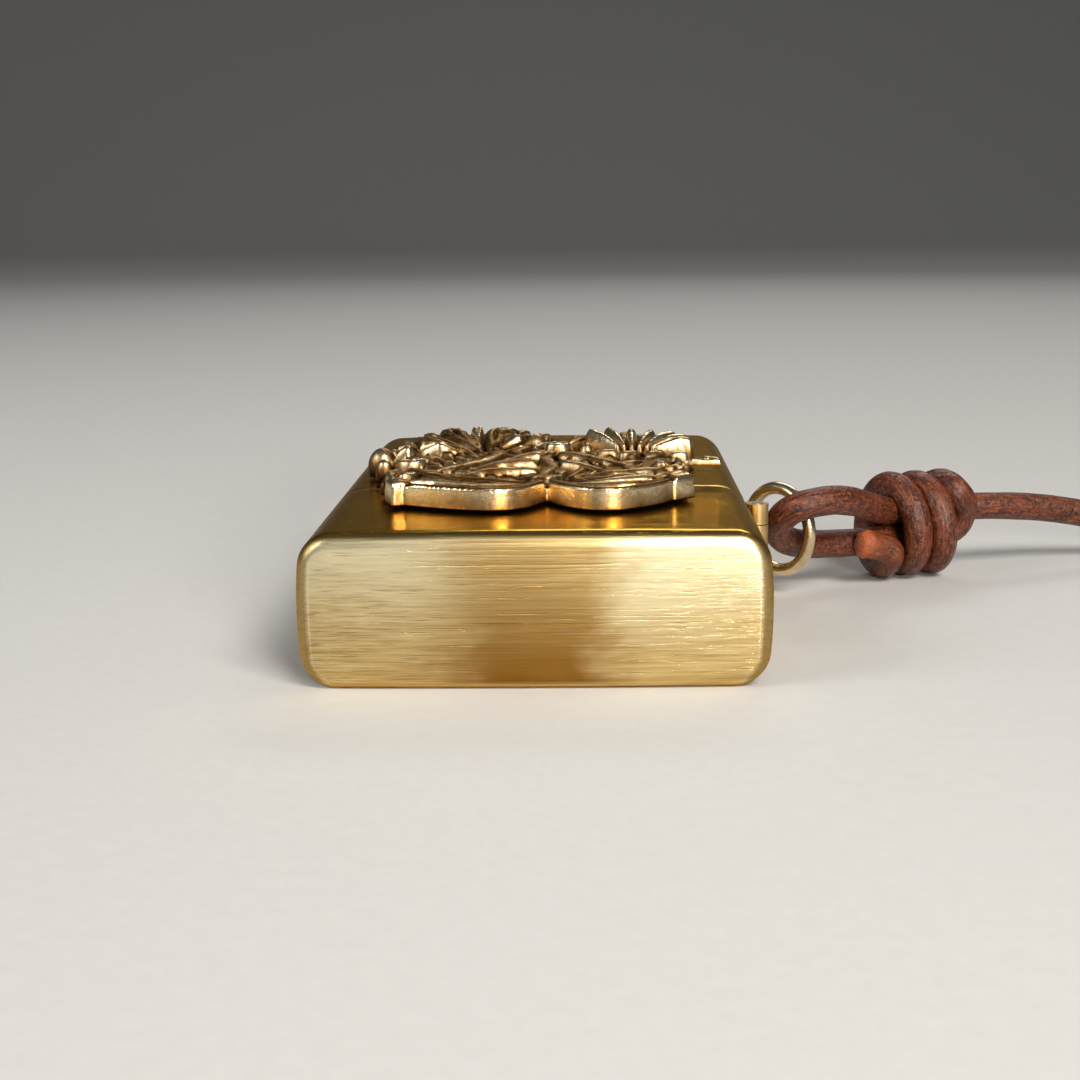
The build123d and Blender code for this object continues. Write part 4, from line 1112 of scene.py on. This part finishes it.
class Pattern:
    """One Geometry Nodes tree with named sizes, worked out at once into a plain mesh."""

    def __init__(self, name, **sizes):
        self.name = name
        self.sizes = sizes
        self.tree = bpy.data.node_groups.new(name, "GeometryNodeTree")
        for size, value in sizes.items():
            kind = "NodeSocketInt" if isinstance(value, int) else "NodeSocketFloat"
            self.tree.interface.new_socket(size, in_out="INPUT", socket_type=kind)
        self.tree.interface.new_socket("Geometry", in_out="OUTPUT", socket_type="NodeSocketGeometry")
        self.given = self.tree.nodes.new("NodeGroupInput")

    def size(self, name):
        return self.given.outputs[name]

    def node(self, kind, settings=None, inputs=None, output=0):
        made = self.tree.nodes.new(kind)
        for key, value in (settings or {}).items():
            setattr(made, key, value)
        for key, value in (inputs or {}).items():
            if isinstance(value, bpy.types.NodeSocket):
                self.tree.links.new(value, made.inputs[key])
            else:
                made.inputs[key].default_value = value
        return made.outputs[output]

    def maths(self, operation, *terms):
        return self.node("ShaderNodeMath", {"operation": operation}, dict(enumerate(terms)))

    def upright(self, height):
        """A vector along Z."""
        return self.node("ShaderNodeCombineXYZ", {}, {"Z": height})

    def turned_copies(self, spots, piece, pitch):
        """The piece at every spot, each turned about Z by one pitch more than the last."""
        turn = self.upright(self.maths("MULTIPLY", self.node("GeometryNodeInputIndex"), pitch))
        return self.node("GeometryNodeInstanceOnPoints", {}, {
            "Points": spots, "Instance": piece,
            "Rotation": self.node("FunctionNodeEulerToRotation", {}, {"Euler": turn})})

    def worked_out(self, geometry, finish):
        real = self.node("GeometryNodeRealizeInstances", {}, {0: geometry})
        coated = self.node("GeometryNodeSetMaterial", {}, {"Geometry": real, "Material": finish})
        out = self.tree.nodes.new("NodeGroupOutput")
        self.tree.links.new(coated, out.inputs[0])
        holder = new_object(self.name, bpy.data.meshes.new(self.name))
        maker = holder.modifiers.new(self.name, "NODES")
        maker.node_group = self.tree
        for item in self.tree.interface.items_tree:
            if item.item_type == "SOCKET" and item.in_out == "INPUT":
                maker[item.identifier] = self.sizes[item.name]
        return evaluated_mesh(holder)


def placed_mesh(mesh, matrix):
    """Put a mesh's points in place, in metres."""
    mesh.transform(matrix)
    mesh.update()
    return mesh


def joined(name, *meshes):
    """One object from several meshes, smooth with sharp edges kept."""
    work = bmesh.new()
    for mesh in meshes:
        work.from_mesh(mesh)
        bpy.data.meshes.remove(mesh)
    whole = bpy.data.meshes.new(name)
    bmesh.ops.remove_doubles(work, verts=work.verts, dist=2e-7)
    work.to_mesh(whole)
    work.free()
    whole.shade_smooth()
    whole.set_sharp_from_angle(angle=math.radians(40))
    return new_object(name, whole)


def lathe(name, profile, centre, steps=72):
    """A closed ring turned about an upright axis; profile is (radius, height) round one closed section."""
    count = len(profile)
    points, faces = [], []
    for k in range(steps):
        angle = 2 * math.pi * k / steps
        points += [(centre[0] + r * math.cos(angle), centre[1] + r * math.sin(angle), centre[2] + h)
                   for r, h in profile]
        for j in range(count):
            after, beside = (k + 1) % steps * count, (j + 1) % count
            faces.append((k * count + j, after + j, after + beside, k * count + beside))
    made = mesh_object(name, points, faces, MM)
    turn_outwards(made.data)
    mesh = made.data
    bpy.data.objects.remove(made)
    return mesh


def build_ring():
    """Round wire bent into a ring, its two ends butted together on the far side."""
    low, high = box_mm("ring")
    gap, joint = math.radians(RING_GAP), math.radians(RING_JOINT)
    middle = (low + high) / 2
    radius = (high[2] - low[2]) / 2 - WIRE
    across = np.array([*(EYE[:2] - middle[:2]), 0.0])
    across /= np.linalg.norm(across)
    turns = np.linspace(joint + gap / 2, joint + 2 * math.pi - gap / 2, 145)
    line = np.array([middle + radius * (math.cos(a) * across + math.sin(a) * UP) for a in turns])
    ends = (0, len(line) - 1)
    piece = round_tube("wire_ring", line * MM, lambda k, angle: WIRE * MM * (0.9 if k in ends else 0.995), 20)
    piece.data.set_sharp_from_angle(angle=math.radians(60))
    finish_piece(piece, RING_WIRE, "ring", "ring_wire", "ring")


def build_wheel():
    """Spark wheel: a turned core with rows of small filed teeth round it."""
    low, high = box_mm("flint_wheel")
    outside, width = (high[0] - low[0]) / 2, high[2] - low[2]
    root, half = outside - TOOTH_DEPTH, width / 2
    upper = [(root, half - 0.2), (root - 0.25, half), (2.05, half), (1.9, half - 0.12),
             (WHEEL_BORE + 0.15, half - 0.12), (WHEEL_BORE, half - 0.25)]
    core = lathe("wheel_core", [(r, -h) for r, h in reversed(upper)] + upper, WHEEL)
    teeth = Pattern("wheel_teeth", Teeth=30, Rows=7, Root=root * MM - 0.00006, Height=0.00038, Foot=0.00036,
                    Step=(width - 0.5) / 7 * MM)
    tooth = teeth.node("GeometryNodeMeshCone", {}, {
        "Vertices": 4, "Radius Top": 0.00003, "Radius Bottom": teeth.size("Foot"),
        "Depth": teeth.size("Height")}, "Mesh")
    rim = teeth.node("GeometryNodeMeshCircle", {}, {
        "Vertices": teeth.size("Teeth"), "Radius": teeth.size("Root")})
    outwards = teeth.node("FunctionNodeAlignRotationToVector", {"axis": "Z"}, {
        "Vector": teeth.node("GeometryNodeInputPosition")})
    row = teeth.node("GeometryNodeInstanceOnPoints", {}, {
        "Points": rim, "Instance": tooth, "Rotation": outwards})
    gaps = teeth.maths("SUBTRACT", teeth.size("Rows"), 1)
    lowest = teeth.maths("MULTIPLY", teeth.maths("MULTIPLY", gaps, teeth.size("Step")), -0.5)
    rows = teeth.node("GeometryNodeMeshLine", {}, {
        "Count": teeth.size("Rows"), "Start Location": teeth.upright(lowest),
        "Offset": teeth.upright(teeth.size("Step"))})
    knurl = teeth.turned_copies(rows, row, teeth.maths("DIVIDE", math.pi, teeth.size("Teeth")))
    mesh = placed_mesh(teeth.worked_out(knurl, HARD_STEEL), Matrix.Translation(Vector(WHEEL * MM)))
    piece = joined("spark_wheel", core, mesh)
    finish_piece(piece, HARD_STEEL, "wheel", "hard_steel", "flint_wheel")


def wick_strands(name, way, radius, length):
    """One set of strands wound one way, each weaving out and in where it crosses the other set."""
    braid = Pattern(name, Strands=8, Turns=7.0, Radius=radius, Length=length, Thickness=0.00027,
                    Weave=0.00008)
    path = braid.node("GeometryNodeCurveSpiral", {}, {
        "Resolution": 18, "Rotations": braid.size("Turns"), "Start Radius": braid.size("Radius"),
        "End Radius": braid.size("Radius"), "Height": braid.size("Length"), "Reverse": way < 0})
    along = braid.node("GeometryNodeSplineParameter", output="Factor")
    pairs = braid.maths("MULTIPLY", braid.size("Turns"), braid.size("Strands"))
    phase = braid.maths("MULTIPLY", along, braid.maths("MULTIPLY", pairs, 2 * math.pi))
    wave = braid.maths("SINE", braid.maths("ADD", phase, 0.0 if way > 0 else math.pi))
    level = braid.node("ShaderNodeVectorMath", {"operation": "MULTIPLY"}, {
        0: braid.node("GeometryNodeInputPosition"), 1: (1.0, 1.0, 0.0)})
    outwards = braid.node("ShaderNodeVectorMath", {"operation": "NORMALIZE"}, {0: level})
    push = braid.node("ShaderNodeVectorMath", {"operation": "SCALE"}, {
        0: outwards, "Scale": braid.maths("MULTIPLY", wave, braid.size("Weave"))})
    woven = braid.node("GeometryNodeSetPosition", {}, {"Geometry": path, "Offset": push})
    yarn = braid.node("GeometryNodeCurvePrimitiveCircle", {}, {
        "Resolution": 6, "Radius": braid.size("Thickness")})
    strand = braid.node("GeometryNodeCurveToMesh", {}, {
        "Curve": woven, "Profile Curve": yarn, "Fill Caps": True})
    spots = braid.node("GeometryNodeMeshLine", {}, {
        "Count": braid.size("Strands"), "Offset": (0.0, 0.0, 0.0)})
    pitch = braid.maths("DIVIDE", 2 * math.pi, braid.size("Strands"))
    return braid.worked_out(braid.turned_copies(spots, strand, pitch), WICK_COTTON)


def build_wick():
    """Braided wick: a core and two sets of strands wound opposite ways over and under each other."""
    low, high = box_mm("wick")
    middle, length, half = (low + high) / 2, high[1] - low[1], (high[0] - low[0]) / 2
    foot = Matrix.Translation(Vector((middle[0], low[1] + 0.3, middle[2])) * MM)
    stand = foot @ Matrix.Rotation(math.radians(-90), 4, "X")
    sets = [placed_mesh(wick_strands(name, way, (half - 0.34) * MM, (length - 0.5) * MM), stand)
            for name, way in (("wick_left", -1), ("wick_right", 1))]
    core_line = [(middle[0], y, middle[2]) for y in np.linspace(low[1] + 0.35, high[1] - 0.3, 60)]
    core = round_tube("wick_core", np.array(core_line) * MM, lambda k, angle: (half - 0.42) * MM, 16)
    mesh = core.data
    bpy.data.objects.remove(core)
    piece = joined("braided_wick", mesh, *sets)
    turn_outwards(piece.data)
    piece.data.shade_smooth()
    finish_piece(piece, WICK_COTTON, "case", "wick_cotton", "wick")


def build_filling(name, node, grain, fluff, finish, slot):
    """A soft filling: the block's own shape, rounded and made uneven inside its space."""
    piece = new_object(name, bpy.data.objects[node].data.copy())
    work = bmesh.new()
    work.from_mesh(piece.data)
    bmesh.ops.remove_doubles(work, verts=work.verts, dist=1e-6)
    work.to_mesh(piece.data)
    work.free()
    cloth = piece.modifiers.new("mesh", "REMESH")
    cloth.mode, cloth.voxel_size = "VOXEL", grain * MM
    round_off = piece.modifiers.new("round", "SMOOTH")
    round_off.factor, round_off.iterations = 0.5, 6
    mesh = evaluated_mesh(piece)
    piece = new_object(name, mesh)
    places = [vertex.co.copy() for vertex in mesh.vertices]
    normals = [vertex.normal.copy() for vertex in mesh.vertices]
    for vertex, place, normal in zip(mesh.vertices, places, normals):
        lumps = noise.noise(place * 420) * 0.6 + noise.noise(place * 1500) * 0.4
        vertex.co = place - normal * (0.5 + 0.5 * lumps) * fluff * MM
    mesh.shade_smooth()
    finish_piece(piece, finish, "case", slot, node)


# ---------------------------------------------------------------- finishes on the other pieces
CARRIED = {
    "case_hinge_leaf": HINGE_BRASS, "lid_hinge_leaf": HINGE_BRASS, "hinge_pin": PIN_STEEL,
    "lid_stop": PIN_STEEL, "insert_can": STEEL, "chimney": STEEL, "wheel_axle": PIN_STEEL,
    "cam_pin": PIN_STEEL, "cam_lever": PIN_STEEL, "flint_screw": TUBE_BRASS, "flint_tube": TUBE_BRASS,
    "cam_spring": SPRING_STEEL, "flint_spring": SPRING_STEEL, "flint": FLINT_ALLOY, "ring_eyelet": RING_WIRE,
}


def dress_nodes():
    """Give every CAD node that stays in sight its finish."""
    for name, finish in CARRIED.items():
        node = bpy.data.objects[name]
        node.data.materials.clear()
        node.data.materials.append(finish)


build_stage()
build_thong()
build_shells()
build_crest()
build_ring()
build_wheel()
build_wick()
build_filling("felt_flap", "felt_pad", 0.2, 0.12, FELT, "grey_felt")
build_filling("cotton_wadding", "wadding", 0.34, 0.35, WADDING, "wadding_cotton")
dress_nodes()
